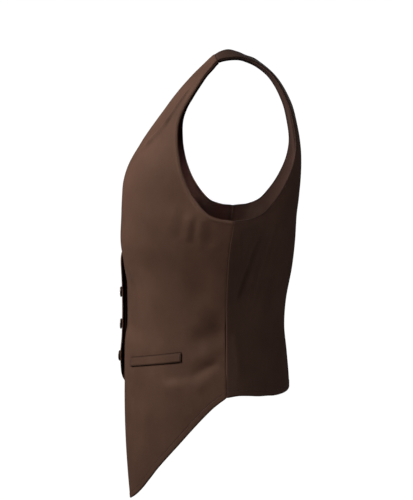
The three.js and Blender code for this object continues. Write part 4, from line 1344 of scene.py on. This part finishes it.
class WaistcoatSizes(bpy.types.PropertyGroup):
    """Sizes of the cloth and its making."""
    front_wall: FloatProperty(name="Front thickness", description="Thickness of a front with its facing",
                              default=0.002, min=0.001, max=0.003, unit="LENGTH", subtype="DISTANCE")
    back_wall: FloatProperty(name="Back thickness", description="Thickness of the back",
                             default=0.0014, min=0.001, max=0.003, unit="LENGTH", subtype="DISTANCE")
    lining_wall: FloatProperty(name="Lining thickness", description="Thickness of the linings",
                               default=0.001, min=0.0005, max=0.002, unit="LENGTH", subtype="DISTANCE")
    welt_wall: FloatProperty(name="Welt thickness", description="Thickness of the pocket welts",
                             default=0.0014, min=0.001, max=0.003, unit="LENGTH", subtype="DISTANCE")
    neck_roll: FloatProperty(name="Neck roll", description="Height of the soft roll along the neck edge",
                             default=0.0009, min=0, max=0.003, unit="LENGTH", subtype="DISTANCE")
    hem_step: FloatProperty(name="Hem step", description="Extra thickness of the turned hem",
                            default=0.00035, min=0, max=0.002, unit="LENGTH", subtype="DISTANCE")
    hem_stitch: FloatProperty(name="Hem stitching", description="Distance of the stitches from the hem",
                              default=0.0066, min=0.003, max=0.02, unit="LENGTH", subtype="DISTANCE")
    hole_spread: FloatProperty(name="Hole spacing", description="Distance between a button's holes",
                               default=0.0034, min=0.002, max=0.006, unit="LENGTH", subtype="DISTANCE")


class WaistcoatLooks(bpy.types.PropertyGroup):
    """Colours of the cloths, buttons and thread."""
    wool_dark: FloatVectorProperty(name="Wool, dark", description="Darker tone of the fronts",
                                   default=(0.043, 0.0220, 0.0146), subtype="COLOR", min=0, max=1)
    wool_light: FloatVectorProperty(name="Wool, light", description="Lighter tone of the fronts",
                                    default=(0.063, 0.0332, 0.0224), subtype="COLOR", min=0, max=1)
    back_dark: FloatVectorProperty(name="Back, dark", description="Darker tone of the back",
                                   default=(0.025, 0.0134, 0.0102), subtype="COLOR", min=0, max=1)
    back_light: FloatVectorProperty(name="Back, light", description="Lighter tone of the back",
                                    default=(0.036, 0.0202, 0.0156), subtype="COLOR", min=0, max=1)
    lining_dark: FloatVectorProperty(name="Lining, dark", description="Darker tone of the linings",
                                     default=(0.046, 0.0250, 0.0200), subtype="COLOR", min=0, max=1)
    lining_light: FloatVectorProperty(name="Lining, light", description="Lighter tone of the linings",
                                      default=(0.062, 0.0345, 0.0280), subtype="COLOR", min=0, max=1)
    horn_dark: FloatVectorProperty(name="Horn, dark", description="Darker tone of the buttons",
                                   default=(0.012, 0.008, 0.006), subtype="COLOR", min=0, max=1)
    horn_light: FloatVectorProperty(name="Horn, light", description="Lighter tone of the buttons",
                                    default=(0.05, 0.032, 0.024), subtype="COLOR", min=0, max=1)
    thread_dark: FloatVectorProperty(name="Thread, dark", description="Darker tone of the thread",
                                     default=(0.035, 0.019, 0.013), subtype="COLOR", min=0, max=1)
    thread_light: FloatVectorProperty(name="Thread, light", description="Lighter tone of the thread",
                                      default=(0.06, 0.034, 0.024), subtype="COLOR", min=0, max=1)


class WaistcoatStage(bpy.types.PropertyGroup):
    """Floor and light."""
    floor_drop: FloatProperty(name="Floor below shoulders", description="How far the floor lies below the origin",
                              default=1.4, min=0.7, max=2, unit="LENGTH", subtype="DISTANCE")
    room_radius: FloatProperty(name="Room radius", description="Distance of the pale wall all round",
                               default=7.0, min=4, max=20, unit="LENGTH", subtype="DISTANCE")
    key_power: FloatProperty(name="Main lamp", description="Power of the lamp in front and above",
                             default=42.0, min=0, unit="POWER")
    fill_power: FloatProperty(name="Fill lamp", description="Power of the lamp at the camera's side",
                              default=27.0, min=0, unit="POWER")
    rim_power: FloatProperty(name="Rear lamp", description="Power of the lamp behind",
                             default=5.0, min=0, unit="POWER")
    armhole_power: FloatProperty(name="Armhole lamp",
                                 description="Power of the narrow lamp that shines in at the near armhole",
                                 default=0.022, min=0, unit="POWER")
    surround: FloatProperty(name="Surround", description="Strength of the light from above the room",
                            default=0.14, min=0)
    floor_glow: FloatProperty(name="Floor glow", description="How much brighter the floor looks than it shines",
                              default=1.0, min=0)


def operator(label, idname, text, action):
    """An operator class that makes one piece or a group of like pieces."""
    def execute(self, context):
        action(context)
        return {"FINISHED"}
    name = "WAISTCOAT_OT_" + idname
    return type(name, (bpy.types.Operator,), {
        "__doc__": text, "bl_idname": "waistcoat." + idname, "bl_label": label,
        "bl_options": {"REGISTER", "UNDO"}, "execute": execute})


OPERATORS = [
    operator("Fronts", "fronts", "Make both fronts with their hems", make_fronts),
    operator("Back", "back", "Make the back with its hem", make_back),
    operator("Linings", "linings", "Make the linings of the fronts and of the back", make_linings),
    operator("Pocket welts", "welts", "Make the pocket welts", make_welts),
    operator("Buttons", "buttons", "Make the buttons with their threads and buttonholes", make_buttons),
    operator("Stage", "stage", "Make the floor, the light and the camera", make_stage),
]


class WAISTCOAT_PT_panel(bpy.types.Panel):
    """The sidebar panel with every size, colour, lamp and button of the waistcoat"""
    bl_idname = "WAISTCOAT_PT_panel"
    bl_label = "Waistcoat"
    bl_space_type = "VIEW_3D"
    bl_region_type = "UI"
    bl_category = "Waistcoat"

    def draw(self, context):
        for group in (context.scene.waistcoat_sizes, context.scene.waistcoat_looks, context.scene.waistcoat_stage):
            box = self.layout.box()
            for name in group.__annotations__:
                box.prop(group, name)
        for made in OPERATORS:
            self.layout.operator(made.bl_idname)


GROUPS = {"waistcoat_sizes": WaistcoatSizes, "waistcoat_looks": WaistcoatLooks, "waistcoat_stage": WaistcoatStage}
CLASSES = [*GROUPS.values(), *OPERATORS, WAISTCOAT_PT_panel]


def register():
    for made in CLASSES:
        bpy.utils.register_class(made)
    for name, group in GROUPS.items():
        setattr(bpy.types.Scene, name, PointerProperty(type=group))


def unregister():
    for name in GROUPS:
        delattr(bpy.types.Scene, name)
    for made in reversed(CLASSES):
        bpy.utils.unregister_class(made)


def main():
    register()
    bpy.ops.waistcoat.fronts()
    bpy.ops.waistcoat.back()
    bpy.ops.waistcoat.linings()
    bpy.ops.waistcoat.welts()
    bpy.ops.waistcoat.buttons()
    bpy.ops.waistcoat.stage()


if __name__ == "__main__":
    main()
